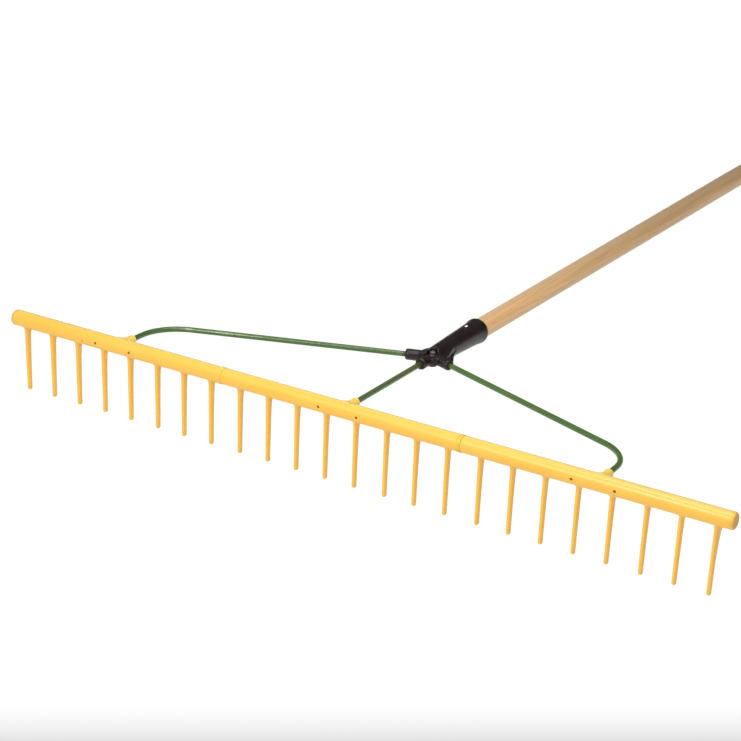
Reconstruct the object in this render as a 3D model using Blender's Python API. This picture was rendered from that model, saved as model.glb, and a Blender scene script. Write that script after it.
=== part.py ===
"""Wide maintenance rake: a sectional plastic tooth bar braced by three steel rods
to a clamp socket on a round wooden handle.

Everything is modelled in the tool's own frame, which one empty then lays down
at rest on the floor: X runs along the bar, Y runs back along the handle, Z is
up and the teeth point down. The bar's axis is the frame's origin.
Units are metres.
"""
import math

import bmesh
import bpy
from mathutils import Matrix, Vector

# ------------------------------------------------------------ driving sizes
TEETH = 24                       # teeth on the whole bar
SECTIONS = 3                     # moulded lengths that make up the bar
SECTION = 1.0 / SECTIONS         # length of one moulded section
PER_SECTION = TEETH // SECTIONS
PITCH = 0.04145                  # tooth spacing inside a section
TOOTH_SHIFT = -0.0020            # each row of teeth sits a little left of its boss
SIXTH_TOOTH = 0.0008             # the mould sets the sixth tooth of each section a little right
BAR_LEFT = 0.5004                # middle rod to the left end cap's face
BAR_RIGHT = 0.4977               # middle rod to the right end cap's face
SEAM_SHIFT = -0.0040             # the seams sit a little left of midway between bosses
GAP = 0.0003                     # clearance between neighbouring pieces

BAR_R = 0.0105                   # outside radius of the bar
BORE_R = 0.0077                  # inside radius of the bar
COLLAR_R = BAR_R + 0.0005        # raised collar where two sections meet
COLLAR_W = 0.0058
CORE_R = BORE_R - GAP            # joining tube inside the bar
CORE_BORE_R = 0.0060
CORE_HALF = 0.478
CAP_FLANGE = 0.0046              # thickness of the end cap outside the bar

TOOTH_LEAN = math.radians(5.0)   # the teeth point 5 degrees back towards the user
TOOTH_TIP = 0.1009               # bar axis to tooth tip
TOOTH_R = 0.0029                 # rounding of the tip
BOSS_END = 0.0322                # bar axis to the mouth of the rod boss

ROD_R = 0.0036
ROD_BORE_R = ROD_R + GAP
ROD_START = 0.0097               # rods stop just short of the joining tube
ROD_STRAIGHT = 0.0539            # where the side rods begin to bend
ROD_BEND_R = 0.0627
ROD_SLOPE = math.radians(22.79)  # angle of the side rods to the bar

ARM_REACH = 0.0360               # length of each clamp arm along its rod
ARM_R = 0.0074                   # outside radius of the side rods' cases
JAW_R = 0.0079                   # outside radius of the middle rod's case
CENTRE_JAW = 0.2004              # front end of the clamp on the middle rod
CENTRE_ROD_END = 0.2240
DECK_Y = 0.2265                  # front edge of the flat that the bolt sits on
DECK_HALF = 0.0064
BOLT_Y = 0.2354
SPLIT = 0.00025                  # half the gap between the clamp's halves
SPLIT_Y = 0.2516                 # the lower half ends here, behind the bolt
FLOOR_Z = 0.0024                 # floor of the bolt head's recess

SOCKET_MOUTH = 0.3674
SEAT_Y = 0.2630                  # bottom of the socket's bore
HANDLE_LENGTH = 1.500
HANDLE_R_NEAR = 0.0141           # at the socket's mouth
HANDLE_R_FAR = 0.0169
HANDLE_TAPER_END = 1.430
SCREW_OFFSET = 0.0265            # section screws, either side of the boss
SCREW_SHIFT = -0.0024
HANDLE_SCREW_Y = 0.3318

# ------------------------------------------------------------ a clean scene
for old in list(bpy.data.objects):
    bpy.data.objects.remove(old, do_unlink=True)


# ------------------------------------------------------------ materials
def material(name, colour, roughness, metallic=0.0):
    mat = bpy.data.materials.new(name)
    mat.use_nodes = True
    shader = mat.node_tree.nodes["Principled BSDF"]
    shader.inputs["Base Color"].default_value = (*colour, 1.0)
    shader.inputs["Roughness"].default_value = roughness
    shader.inputs["Metallic"].default_value = metallic
    mat.diffuse_color = (*colour, 1.0)
    return mat


YELLOW = ((0.93, 0.55, 0.07), 0.38, 0.0)
GREEN = ((0.075, 0.20, 0.055), 0.40, 0.0)
BLACK = ((0.020, 0.018, 0.018), 0.45, 0.0)
WOOD = ((0.62, 0.42, 0.21), 0.55, 0.0)
STEEL = ((0.46, 0.46, 0.47), 0.35, 1.0)
DARK_STEEL = ((0.10, 0.08, 0.06), 0.45, 1.0)


# ------------------------------------------------------------ mesh helpers
def mesh_object(name, bm, look):
    bmesh.ops.recalc_face_normals(bm, faces=bm.faces)
    mesh = bpy.data.meshes.new(name)
    bm.to_mesh(mesh)
    bm.free()
    obj = bpy.data.objects.new(name, mesh)
    bpy.context.scene.collection.objects.link(obj)
    if look is not None:
        mesh.materials.append(material(name, *look))
    return obj


def skin(rings, name, look=None):
    """Closed solid through rings of equal length, with flat ends."""
    bm = bmesh.new()
    loops = [[bm.verts.new(p) for p in ring] for ring in rings]
    n = len(loops[0])
    for a, b in zip(loops, loops[1:]):
        for i in range(n):
            j = (i + 1) % n
            bm.faces.new((a[i], a[j], b[j], b[i]))
    bm.faces.new(list(reversed(loops[0])))
    bm.faces.new(loops[-1])
    return mesh_object(name, bm, look)


def axis_frame(axis):
    """Two unit vectors square to an axis."""
    axis = Vector(axis).normalized()
    side = Vector((0, 0, 1)) if abs(axis.z) < 0.9 else Vector((1, 0, 0))
    u = side.cross(axis).normalized()
    return axis, u, axis.cross(u)


def turned(name, profile, origin, axis, sides, look=None, phase=0.5):
    """Solid turned from (distance along axis, radius) pairs."""
    axis, u, v = axis_frame(axis)
    origin = Vector(origin)
    rings = []
    for along, radius in profile:
        ring = []
        for k in range(sides):
            a = 2 * math.pi * (k + phase) / sides
            ring.append(origin + axis * along + (u * math.cos(a) + v * math.sin(a)) * radius)
        rings.append(ring)
    return skin(rings, name, look)


def turned_ring(name, profile, origin, axis, sides, look=None, phase=0.5):
    """Hollow solid turned from a closed loop of (distance, radius) pairs."""
    axis, u, v = axis_frame(axis)
    origin = Vector(origin)
    bm = bmesh.new()
    loops = []
    for k in range(sides):
        a = 2 * math.pi * (k + phase) / sides
        d = u * math.cos(a) + v * math.sin(a)
        loops.append([bm.verts.new(origin + axis * s + d * r) for s, r in profile])
    n = len(profile)
    for k in range(sides):
        a, b = loops[k], loops[(k + 1) % sides]
        for i in range(n):
            j = (i + 1) % n
            bm.faces.new((a[i], a[j], b[j], b[i]))
    return mesh_object(name, bm, look)


def prism(name, across_flats, origin, axis, low, high, look=None, sides=6):
    """Hexagon bar between two distances along an axis."""
    radius = across_flats / 2 / math.cos(math.pi / sides)
    return turned(name, [(low, radius), (high, radius)], origin, axis, sides, look, phase=0.0)


def box(name, low, high):
    bm = bmesh.new()
    bmesh.ops.create_cube(bm, size=1.0)
    low, high = Vector(low), Vector(high)
    for v in bm.verts:
        v.co = Vector((low[i] + (high[i] - low[i]) * (v.co[i] + 0.5) for i in range(3)))
    return mesh_object(name, bm, None)


def sweep(name, path, radius, sides, look=None):
    """Round bar along a path that stays in the plane Z = 0."""
    rings = []
    up = Vector((0, 0, 1))
    for i, p in enumerate(path):
        before = path[i] - path[i - 1] if i else path[1] - path[0]
        after = path[i + 1] - path[i] if i + 1 < len(path) else before
        tangent = (before.normalized() + after.normalized()).normalized()
        side = up.cross(tangent).normalized()
        rings.append([p + (side * math.cos(2 * math.pi * (k + 0.5) / sides)
                           + up * math.sin(2 * math.pi * (k + 0.5) / sides)) * radius
                      for k in range(sides)])
    return skin(rings, name, look)


def join_loose(objects):
    """Separate closed shapes in one mesh, for use as one Boolean operand."""
    bm = bmesh.new()
    for obj in objects:
        bm.from_mesh(obj.data)
        drop(obj)
    mesh = bpy.data.meshes.new("operand")
    bm.to_mesh(mesh)
    bm.free()
    obj = bpy.data.objects.new("operand", mesh)
    bpy.context.scene.collection.objects.link(obj)
    return obj


def drop(obj):
    mesh = obj.data
    bpy.data.objects.remove(obj, do_unlink=True)
    bpy.data.meshes.remove(mesh)


def combine(target, operand, operation):
    """Boolean of two closed meshes, applied to the first."""
    mod = target.modifiers.new("cut", "BOOLEAN")
    mod.operation = operation
    mod.solver = "EXACT"
    mod.object = operand
    bpy.context.view_layer.update()
    graph = bpy.context.evaluated_depsgraph_get()
    result = bpy.data.meshes.new_from_object(target.evaluated_get(graph))
    target.modifiers.clear()
    old = target.data
    target.data = result
    bpy.data.meshes.remove(old)
    drop(operand)
    bm = bmesh.new()
    bm.from_mesh(target.data)
    bmesh.ops.remove_doubles(bm, verts=bm.verts, dist=2e-6)
    bmesh.ops.dissolve_degenerate(bm, edges=bm.edges, dist=2e-6)
    bm.to_mesh(target.data)
    bm.free()


def cut(target, operand):
    combine(target, operand, "DIFFERENCE")


def add(target, operand):
    combine(target, operand, "UNION")


def keep(target, operand):
    combine(target, operand, "INTERSECT")


# ------------------------------------------------------------ the placing empty
# At rest the tooth tips and the far end of the handle touch the floor.
HANDLE_END = SEAT_Y + GAP + HANDLE_LENGTH
END_ROUND = 0.008
TIP_FLAT = TOOTH_TIP - TOOTH_R


def rest_tilt():
    """Angle at which the tips and the handle's far end are equally low."""
    low, high = 0.0, math.radians(10)
    for _ in range(60):
        mid = (low + high) / 2
        tips = TIP_FLAT * math.cos(TOOTH_LEAN - mid) + TOOTH_R
        end = (HANDLE_END - END_ROUND) * math.sin(mid) + HANDLE_R_FAR * math.cos(mid)
        if end > tips:
            high = mid
        else:
            low = mid
    return (low + high) / 2


TILT = rest_tilt()
rake_frame = bpy.data.objects.new("rake_frame", None)
bpy.context.scene.collection.objects.link(rake_frame)
rake_frame.rotation_euler = (-TILT, 0.0, 0.0)

nodes = []


def finish_node(obj, angle=35.0):
    """Shade, put under the placing empty, and keep in the list of pieces."""
    for poly in obj.data.polygons:
        poly.use_smooth = True
    obj.data.set_sharp_from_angle(angle=math.radians(angle))
    obj.parent = rake_frame
    nodes.append(obj)
    return obj


# ------------------------------------------------------------ bar sections
def section_centre(i):
    return (i - (SECTIONS - 1) / 2) * SECTION


BACK = Vector((0, math.cos(TOOTH_LEAN), math.sin(TOOTH_LEAN)))
UP = Vector((0, -math.sin(TOOTH_LEAN), math.cos(TOOTH_LEAN)))
TIP_HALF, TIP_DEEP = 0.0028, 0.0036     # half width and half depth of a tooth by its tip


def tooth(x, stiff=0.0, wide=0.0):
    """One tapered oval tooth, deeper at the root and more so where it is stiffened."""
    # height, half width along the bar, front and back reach of the section
    stations = [
        (-0.0040, 0.0038 + wide, 0.0050, 0.0072 + 0.6 * stiff),
        (-0.0108, 0.0037 + wide, 0.0053, 0.0086 + stiff),
        (-0.0145, 0.0034 + 0.8 * wide, 0.0048, 0.0077 + 0.95 * stiff),
        (-0.0190, 0.0032 + 0.5 * wide, 0.0043, 0.0060 + 0.8 * stiff),
        (-0.0320, 0.0031, 0.0041, 0.0051 + 0.36 * stiff),
        (-0.0580, 0.0029, 0.0039, 0.0043),
        (-TIP_FLAT, TIP_HALF, TIP_DEEP, TIP_DEEP),
    ]
    steps = 2
    for k in range(1, steps + 1):
        a = math.radians(72) * k / steps
        drop_z = TOOTH_R * math.sin(a) / math.sin(math.radians(72))
        stations.append((-TIP_FLAT - drop_z, TIP_HALF * math.cos(a), TIP_DEEP * math.cos(a),
                         TIP_DEEP * math.cos(a)))
    sides = 10
    rings = []
    for z, half, front, back in stations:
        middle, depth = (back - front) / 2, (back + front) / 2
        rings.append([Vector((x, 0, 0)) + Vector((1, 0, 0)) * half * math.cos(2 * math.pi * (k + 0.5) / sides)
                      + BACK * (middle + depth * math.sin(2 * math.pi * (k + 0.5) / sides)) + UP * z
                      for k in range(sides)])
    return skin(rings, "tooth")


def rake_section(name, index):
    xc = section_centre(index)
    first, last = index == 0, index == SECTIONS - 1
    x0 = -BAR_LEFT + CAP_FLANGE + GAP if first else xc - SECTION / 2 + SEAM_SHIFT + GAP / 2
    x1 = BAR_RIGHT - CAP_FLANGE - GAP if last else xc + SECTION / 2 + SEAM_SHIFT - GAP / 2
    c = 0.0005
    profile = [(x0, BAR_R - c), (x0 + c, BAR_R)]
    if last:
        profile += [(x1 - c, BAR_R), (x1, BAR_R - c)]
    else:
        profile += [(x1 - COLLAR_W, BAR_R), (x1 - COLLAR_W + 0.0005, COLLAR_R),
                    (x1 - 0.0006, COLLAR_R), (x1, COLLAR_R - 0.0006)]
    bar = turned(name, profile, (0, 0, 0), (1, 0, 0), 32, YELLOW)
    teeth = [tooth(xc + TOOTH_SHIFT + (k - (PER_SECTION - 1) / 2) * PITCH + (SIXTH_TOOTH if k == 5 else 0.0),
                   *((0.0075, 0.0010) if last and k == PER_SECTION - 1 else (0.0, 0.0)))
             for k in range(PER_SECTION)]
    add(bar, join_loose(teeth))
    boss = turned("boss", [(0.0030, 0.0098), (0.0085, 0.0088), (0.0135, 0.0072), (0.0190, 0.0063),
                           (0.0260, 0.0058), (0.0300, 0.0055), (BOSS_END - 0.0008, 0.0051),
                           (BOSS_END, 0.0045)],
                  (xc, 0, 0), (0, 1, 0), 20)
    add(bar, boss)
    cut(bar, turned("bore", [(x0 - 0.01, BORE_R), (x1 + 0.01, BORE_R)],
                    (0, 0, 0), (1, 0, 0), 24))
    holes = [turned("rod_hole", [(ROD_START - GAP, ROD_BORE_R), (BOSS_END + 0.01, ROD_BORE_R)],
                    (xc, 0, 0), (0, 1, 0), 16)]
    for side in (-1, 1):
        holes.append(turned("screw_hole", [(0.0060, 0.0018), (0.0200, 0.0018)],
                            (xc + side * SCREW_OFFSET + SCREW_SHIFT, 0, 0), -BACK, 12))
    cut(bar, join_loose(holes))
    return finish_node(bar)


rake_section("left_rake_section", 0)
rake_section("middle_rake_section", 1)
rake_section("right_rake_section", 2)

# ------------------------------------------------------------ joining tube
core = turned_ring("core_tube", [(-CORE_HALF, CORE_R), (CORE_HALF, CORE_R),
                                 (CORE_HALF, CORE_BORE_R), (-CORE_HALF, CORE_BORE_R)],
                   (0, 0, 0), (1, 0, 0), 24, STEEL)
cut(core, join_loose([turned("pilot", [(0.0040, 0.0014), (0.0120, 0.0014)],
                             (section_centre(i) + side * SCREW_OFFSET + SCREW_SHIFT, 0, 0), -BACK, 10)
                      for i in range(SECTIONS) for side in (-1, 1)]))
finish_node(core)

# ------------------------------------------------------------ end caps
for name, side, end in (("left_end_cap", -1, BAR_LEFT), ("right_end_cap", 1, BAR_RIGHT)):
    face = end - CAP_FLANGE
    finish_node(turned(name, [(CORE_HALF + 0.004, BORE_R - 0.0008), (CORE_HALF + 0.0055, BORE_R - GAP),
                              (face, BORE_R - GAP), (face, BAR_R - 0.0002),
                              (end - 0.0036, BAR_R - 0.0002), (end - 0.0021, BAR_R - 0.0007),
                              (end - 0.0009, BAR_R - 0.0018), (end - 0.0002, BAR_R - 0.0032),
                              (end, BAR_R - 0.0045)],
                       (0, 0, 0), (side, 0, 0), 32, YELLOW))


# ------------------------------------------------------------ section screws
for i, part in enumerate(("left", "middle", "right")):
    for side, which in ((-1, "a"), (1, "b")):
        finish_node(turned(f"{part}_section_screw_{which}",
                           [(0.0050, 0.0006), (0.0056, 0.0010), (0.0090, 0.0010), (0.0090, 0.0015),
                            (0.0097, 0.0015), (0.0101, 0.0011)],
                           (section_centre(i) + side * SCREW_OFFSET + SCREW_SHIFT, 0, 0), -BACK,
                           10, DARK_STEEL))

# ------------------------------------------------------------ brace rods
TURN = math.pi / 2 - ROD_SLOPE
ARC_END = (SECTION - ROD_BEND_R * (1 - math.cos(TURN)), ROD_STRAIGHT + ROD_BEND_R * math.sin(TURN))
APEX_Y = ARC_END[1] + ARC_END[0] * math.tan(ROD_SLOPE)   # where the rod axes meet
ROD_END_X = 0.0090


def side_rod_path(side):
    """Out of the boss, round the bend, then straight to the clamp."""
    pts = [(SECTION, ROD_START), (SECTION, ROD_STRAIGHT)]
    steps = 12
    for k in range(1, steps + 1):
        a = TURN * k / steps
        pts.append((SECTION - ROD_BEND_R * (1 - math.cos(a)), ROD_STRAIGHT + ROD_BEND_R * math.sin(a)))
    pts.append((ROD_END_X, APEX_Y - ROD_END_X * math.tan(ROD_SLOPE)))
    return [Vector((side * x, y, 0)) for x, y in pts]


finish_node(sweep("left_brace_rod", side_rod_path(-1), ROD_R, 14, GREEN))
finish_node(sweep("right_brace_rod", side_rod_path(1), ROD_R, 14, GREEN))
finish_node(turned("centre_brace_rod", [(ROD_START, ROD_R), (CENTRE_ROD_END, ROD_R)],
                   (0, 0, 0), (0, 1, 0), 14, GREEN))

# ------------------------------------------------------------ clamp and socket
APEX = Vector((0, APEX_Y, 0))


def arm_axis(side):
    return Vector((side * math.cos(ROD_SLOPE), -math.sin(ROD_SLOPE), 0))


def plan_plate(name, outline, low, high):
    """Flat plate with the given outline in plan."""
    return skin([[Vector((x, y, low)) for x, y in outline],
                 [Vector((x, y, high)) for x, y in outline]], name)


def case_profile(start, length, radius):
    """A rod case: straight, then rounded over to a flat rim at the mouth."""
    return [(start, radius), (length - 0.0036, radius), (length - 0.0020, radius - 0.0003),
            (length - 0.0008, radius - 0.0010), (length, radius - 0.0021)]


def clamp_body(name, look):
    """Outside shape of the whole clamp and socket, before it is split."""
    y = APEX_Y
    cone = [(y - 0.0080, 0.0052), (y - 0.0058, 0.0074), (y - 0.0028, 0.0096), (y + 0.0010, 0.0112),
            (y + 0.0070, 0.0123), (0.2520, 0.0128), (0.2880, 0.0140), (0.3420, 0.0158),
            (0.3545, 0.0166), (0.3612, 0.0173), (0.3640, 0.0178), (0.3659, 0.0178), (SOCKET_MOUTH, 0.0173)]
    body = turned(name, cone, (0, 0, 0), (0, 1, 0), 30, look)
    # arms and jaw: rounded cases around the three rods
    for side in (-1, 1):
        add(body, turned("arm", case_profile(0.001, ARM_REACH, ARM_R), APEX, arm_axis(side), 18))
    add(body, turned("jaw", case_profile(-0.2400, -CENTRE_JAW, JAW_R), (0, 0, 0), (0, -1, 0), 18))
    # web that fills the corners between the three cases
    add(body, turned("web", [(-0.0052, 0.0128), (-0.0040, 0.0142), (0.0036, 0.0142), (0.0048, 0.0128)],
                     (0, APEX_Y - 0.0075, 0), (0, 0, 1), 24))
    # gussets from the arms back to the socket
    for side in (-1, 1):
        along = arm_axis(side)
        rear = Vector((side * math.sin(ROD_SLOPE), math.cos(ROD_SLOPE), 0))
        mid = APEX + along * 0.0300
        tip = mid + rear * 0.0054
        outline = [(0.0, APEX_Y), (mid.x, mid.y), (tip.x, tip.y), (side * 0.0250, 0.2480),
                   (side * 0.0182, 0.2620), (side * 0.0124, 0.2800), (0.0, 0.2800)]
        add(body, plan_plate("gusset", outline, -0.0058, -0.0014))
        # shoulder that carries the arm's upper side round into the socket
        root = APEX + along * 0.0200
        outline = [(0.0, APEX_Y), (root.x, root.y), (side * 0.0196, 0.2405), (side * 0.0176, 0.2505),
                   (side * 0.0146, 0.2590), (side * 0.0122, 0.2680), (0.0, 0.2680)]
        add(body, plan_plate("shoulder", outline, -0.0030, 0.0040))
    return body


def rod_channels():
    """The room that the three rods take up in the clamp, funnelled at the mouths."""
    far = ARM_REACH
    out = []
    for side in (-1, 1):
        end = ROD_END_X / math.cos(ROD_SLOPE) - GAP
        out.append(turned("channel", [(end, ROD_BORE_R), (far - 0.0014, ROD_BORE_R), (far + 0.0020, 0.0047)],
                          APEX, arm_axis(side), 16))
    out.append(turned("channel", [(-CENTRE_ROD_END - GAP, ROD_BORE_R), (-CENTRE_JAW - 0.0014, ROD_BORE_R),
                                  (-CENTRE_JAW + 0.0020, 0.0047)],
                      (0, 0, 0), (0, -1, 0), 16))
    return out


def bolt_hole():
    return turned("bolt_hole", [(-0.03, 0.0028), (0.03, 0.0028)], (0, BOLT_Y, 0), (0, 0, 1), 16)


socket = clamp_body("handle_socket", BLACK)
cut(socket, box("lower", (-0.06, 0.15, -0.05), (0.06, SPLIT_Y, SPLIT)))
cut(socket, join_loose(rod_channels()))
cut(socket, bolt_hole())
# a round seat for the bolt's head, open to the front over a low flat deck
cut(socket, turned("recess", [(FLOOR_Z, 0.0060), (0.0300, 0.0060)], (0, BOLT_Y, 0), (0, 0, 1), 24))
cut(socket, box("deck", (-DECK_HALF, DECK_Y, 0.0030), (DECK_HALF, BOLT_Y, 0.0300)))
cut(socket, box("jaw_flat", (-0.0068, 0.2125, 0.0053), (0.0068, DECK_Y + 0.0010, 0.0300)))


def handle_radius(y):
    """Outside of the handle from the socket's mouth outwards."""
    t = min(1.0, (y - SOCKET_MOUTH) / (HANDLE_TAPER_END - SOCKET_MOUTH))
    return HANDLE_R_NEAR + (HANDLE_R_FAR - HANDLE_R_NEAR) * t


SEAT_R = 0.0098                  # handle radius at the bottom of the socket
cut(socket, turned("handle_bore", [(SEAT_Y, SEAT_R + GAP), (SOCKET_MOUTH + 0.01, HANDLE_R_NEAR + GAP
                                   + 0.01 * (HANDLE_R_NEAR - SEAT_R) / (SOCKET_MOUTH - SEAT_Y))],
                   (0, 0, 0), (0, 1, 0), 28))
cut(socket, turned("screw_way", [(0.0060, 0.0019), (0.0250, 0.0019)],
                   (0, HANDLE_SCREW_Y, 0), (0, 0, 1), 12))
finish_node(socket)

plate = clamp_body("clamp_plate", BLACK)
keep(plate, box("lower_half", (-0.06, 0.15, -0.05), (0.06, SPLIT_Y - GAP, -SPLIT)))
add(plate, turned("nut_boss", [(-0.0040, 0.0086), (-0.0104, 0.0076), (-0.0118, 0.0067)],
                  (0, BOLT_Y, 0), (0, 0, 1), 24))
cut(plate, join_loose(rod_channels()))
cut(plate, bolt_hole())
cut(plate, prism("nut_pocket", 0.0086, (0, BOLT_Y, 0), (0, 0, 1), -0.0300, -0.0078))
finish_node(plate)

# ------------------------------------------------------------ clamp fasteners
WASHER_TOP = FLOOR_Z + GAP + 0.0008
finish_node(turned_ring("clamp_washer", [(FLOOR_Z + GAP, 0.0050), (WASHER_TOP, 0.0050),
                                         (WASHER_TOP, 0.0028), (FLOOR_Z + GAP, 0.0028)],
                        (0, BOLT_Y, 0), (0, 0, 1), 24, STEEL))
HEAD_LOW = WASHER_TOP + GAP
bolt = prism("clamp_bolt", 0.0080, (0, BOLT_Y, 0), (0, 0, 1), HEAD_LOW, HEAD_LOW + 0.0035, STEEL)
add(bolt, turned("shank", [(-0.0136, 0.0021), (-0.0131, 0.0025), (HEAD_LOW + 0.0010, 0.0025)],
                 (0, BOLT_Y, 0), (0, 0, 1), 16))
finish_node(bolt)
nut = prism("clamp_nut", 0.0080, (0, BOLT_Y, 0), (0, 0, 1), -0.0119, -0.0081, STEEL)
cut(nut, bolt_hole())
finish_node(nut)

# ------------------------------------------------------------ handle
inside = SEAT_Y + GAP
profile = [(inside, SEAT_R - 0.0010), (inside + 0.0012, SEAT_R)]
profile.append((SOCKET_MOUTH, HANDLE_R_NEAR))
profile.append((HANDLE_TAPER_END, HANDLE_R_FAR))
profile.append((HANDLE_END - END_ROUND, HANDLE_R_FAR))
for k in range(1, 6):
    a = math.radians(78) * k / 5
    profile.append((HANDLE_END - END_ROUND + END_ROUND * math.sin(a) / math.sin(math.radians(78)),
                    HANDLE_R_FAR - END_ROUND * (1 - math.cos(a))))
handle = turned("handle", profile, (0, 0, 0), (0, 1, 0), 28, WOOD)
cut(handle, turned("pilot", [(0.0030, 0.0016), (0.0300, 0.0016)],
                   (0, HANDLE_SCREW_Y, 0), (0, 0, 1), 10))
finish_node(handle)

# the socket's surface is conical, so the screw head clears it all round
HEAD_Z = 0.0162
finish_node(turned("handle_screw", [(0.0038, 0.0005), (0.0052, 0.0013), (HEAD_Z, 0.0013), (HEAD_Z, 0.0029),
                                    (HEAD_Z + 0.0009, 0.0029), (HEAD_Z + 0.0017, 0.0018)],
                   (0, HANDLE_SCREW_Y, 0), (0, 0, 1), 16, STEEL))

# ------------------------------------------------------------ place the whole
# Origin at the middle of the base of the outer box, resting on Z = 0.
bpy.context.view_layer.update()
corners = [obj.matrix_world @ v.co for obj in nodes for v in obj.data.vertices]
low = [min(c[i] for c in corners) for i in range(3)]
high = [max(c[i] for c in corners) for i in range(3)]
rake_frame.location = (-(low[0] + high[0]) / 2, -(low[1] + high[1]) / 2, -low[2])
bpy.context.view_layer.update()
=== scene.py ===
"""Looks for the wide maintenance rake: fine surfaces, materials, stage, light and camera.

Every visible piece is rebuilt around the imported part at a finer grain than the
CAD solids. Moulded pieces are made as distance fields, where neighbouring forms
melt into each other as they do in a mould, and meshed from there. Turned and
drawn pieces are lofted. Sizes below are in millimetres in the tool's own frame:
X along the bar, Y back along the handle, Z up, the bar's axis as origin.
"""
import math

import bmesh
import bpy
import numpy as np
from mathutils import Matrix, Vector


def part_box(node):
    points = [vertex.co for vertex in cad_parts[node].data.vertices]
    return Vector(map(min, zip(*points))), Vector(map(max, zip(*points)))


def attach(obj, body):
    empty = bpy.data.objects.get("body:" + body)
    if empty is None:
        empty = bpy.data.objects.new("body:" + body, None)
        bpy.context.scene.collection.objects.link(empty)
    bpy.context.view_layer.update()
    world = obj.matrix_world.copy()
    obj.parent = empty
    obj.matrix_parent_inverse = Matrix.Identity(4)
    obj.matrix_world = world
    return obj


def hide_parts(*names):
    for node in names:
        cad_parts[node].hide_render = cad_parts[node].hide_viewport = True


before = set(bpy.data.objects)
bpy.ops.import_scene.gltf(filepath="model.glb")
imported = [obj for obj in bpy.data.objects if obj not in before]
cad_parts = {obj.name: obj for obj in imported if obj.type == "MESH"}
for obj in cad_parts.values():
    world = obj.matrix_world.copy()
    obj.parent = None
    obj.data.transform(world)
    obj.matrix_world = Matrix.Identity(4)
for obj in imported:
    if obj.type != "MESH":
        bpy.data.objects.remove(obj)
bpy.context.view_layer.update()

# ------------------------------------------------------------ the tool's frame
def rest_tilt():
    """Angle at which the tooth tips and the handle's far end are equally low, as in the CAD."""
    low, high = 0.0, math.radians(10)
    for _ in range(60):
        mid = (low + high) / 2
        tips = 98.0 * math.cos(math.radians(5.0) - mid) + 2.9
        end = (1763.3 - 8.0) * math.sin(mid) + 16.9 * math.cos(mid)
        if end > tips:
            high = mid
        else:
            low = mid
    return (low + high) / 2


TILT = rest_tilt()
CORE_LOW, CORE_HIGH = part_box("core_tube")
ORIGIN = (CORE_LOW + CORE_HIGH) / 2 * 1000.0
COS_T, SIN_T = math.cos(TILT), math.sin(TILT)


def to_world(p):
    """Tool frame in mm to row frame in metres."""
    p = np.asarray(p, float)
    out = np.empty_like(p)
    out[:, 0] = p[:, 0] + ORIGIN.x
    out[:, 1] = COS_T * p[:, 1] + SIN_T * p[:, 2] + ORIGIN.y
    out[:, 2] = -SIN_T * p[:, 1] + COS_T * p[:, 2] + ORIGIN.z
    return out / 1000.0


def turn_to_world(v):
    out = np.empty_like(v)
    out[:, 0] = v[:, 0]
    out[:, 1] = COS_T * v[:, 1] + SIN_T * v[:, 2]
    out[:, 2] = -SIN_T * v[:, 1] + COS_T * v[:, 2]
    return out


# ------------------------------------------------------------ sizes, as in the CAD
SECTION = 1000.0 / 3
PITCH = 41.45
TOOTH_SHIFT = -2.0
SIXTH_TOOTH = 0.8
BAR_LEFT, BAR_RIGHT = 500.4, 497.7
SEAM_SHIFT = -4.0
CAP_FLANGE = 4.6
BAR_R = 10.5
BORE_R = 7.7
COLLAR_W = 5.8
LEAN = math.radians(5.0)
TIP = 100.9
BOSS_END = 32.2
ROD_R = 3.6
ROD_BORE_R = 3.9
ROD_START = 9.7
ROD_STRAIGHT = 53.9
ROD_BEND_R = 62.7
SLOPE = math.radians(22.79)
ARM_REACH = 36.0
ARM_R = 7.4
JAW_R = 7.9
CENTRE_JAW = 200.4
CENTRE_ROD_END = 224.0
DECK_Y = 226.5
DECK_HALF = 6.4
BOLT_Y = 235.4
SPLIT = 0.25
SPLIT_Y = 251.6
FLOOR_Z = 2.4
MOUTH = 367.4
SEAT_Y = 263.0
HANDLE_SCREW_Y = 331.8
HEAD_Z = 16.2
SCREW_OFFSET = 26.5
SCREW_SHIFT = -2.4
TURN = math.pi / 2 - SLOPE
ARC_END = (SECTION - ROD_BEND_R * (1 - math.cos(TURN)), ROD_STRAIGHT + ROD_BEND_R * math.sin(TURN))
APEX_Y = ARC_END[1] + ARC_END[0] * math.tan(SLOPE)


# ------------------------------------------------------------ field arithmetic
def melt(a, b, k):
    """Union of two fields with a fillet of about k."""
    h = np.clip(0.5 + 0.5 * (b - a) / k, 0.0, 1.0)
    return b + (a - b) * h - k * h * (1.0 - h)


def carve(a, b, k=0.3):
    """Field a less field b, with the rim eased by about k."""
    return -melt(-a, b, k)


def within(a, b, k=0.3):
    """What fields a and b share, with the edge eased by about k."""
    return -melt(-a, -b, k)


def lathe(radial, along, table, k_low=0.6, k_high=0.6):
    """Field of a turned shape from a table of (along, radius), eased at its ends."""
    s = np.array([p[0] for p in table])
    r = np.array([p[1] for p in table])
    fine = np.linspace(s[0], s[-1], 400)
    rr = np.interp(fine, s, r)
    width = max(3, int(400 * 1.6 / (s[-1] - s[0])))
    kernel = np.hanning(width + 2)[1:-1]
    kernel /= kernel.sum()
    padded = np.concatenate([np.full(width, rr[0]), rr, np.full(width, rr[-1])])
    rr = np.convolve(padded, kernel, "same")[width:-width]
    slope = np.gradient(rr, fine)
    radius = np.interp(along, fine, rr)
    lean = np.interp(along, fine, slope)
    d = (radial - radius) / np.sqrt(1 + lean * lean)
    d = within(d, s[0] - along, k_low)
    return within(d, along - s[-1], k_high)


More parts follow.
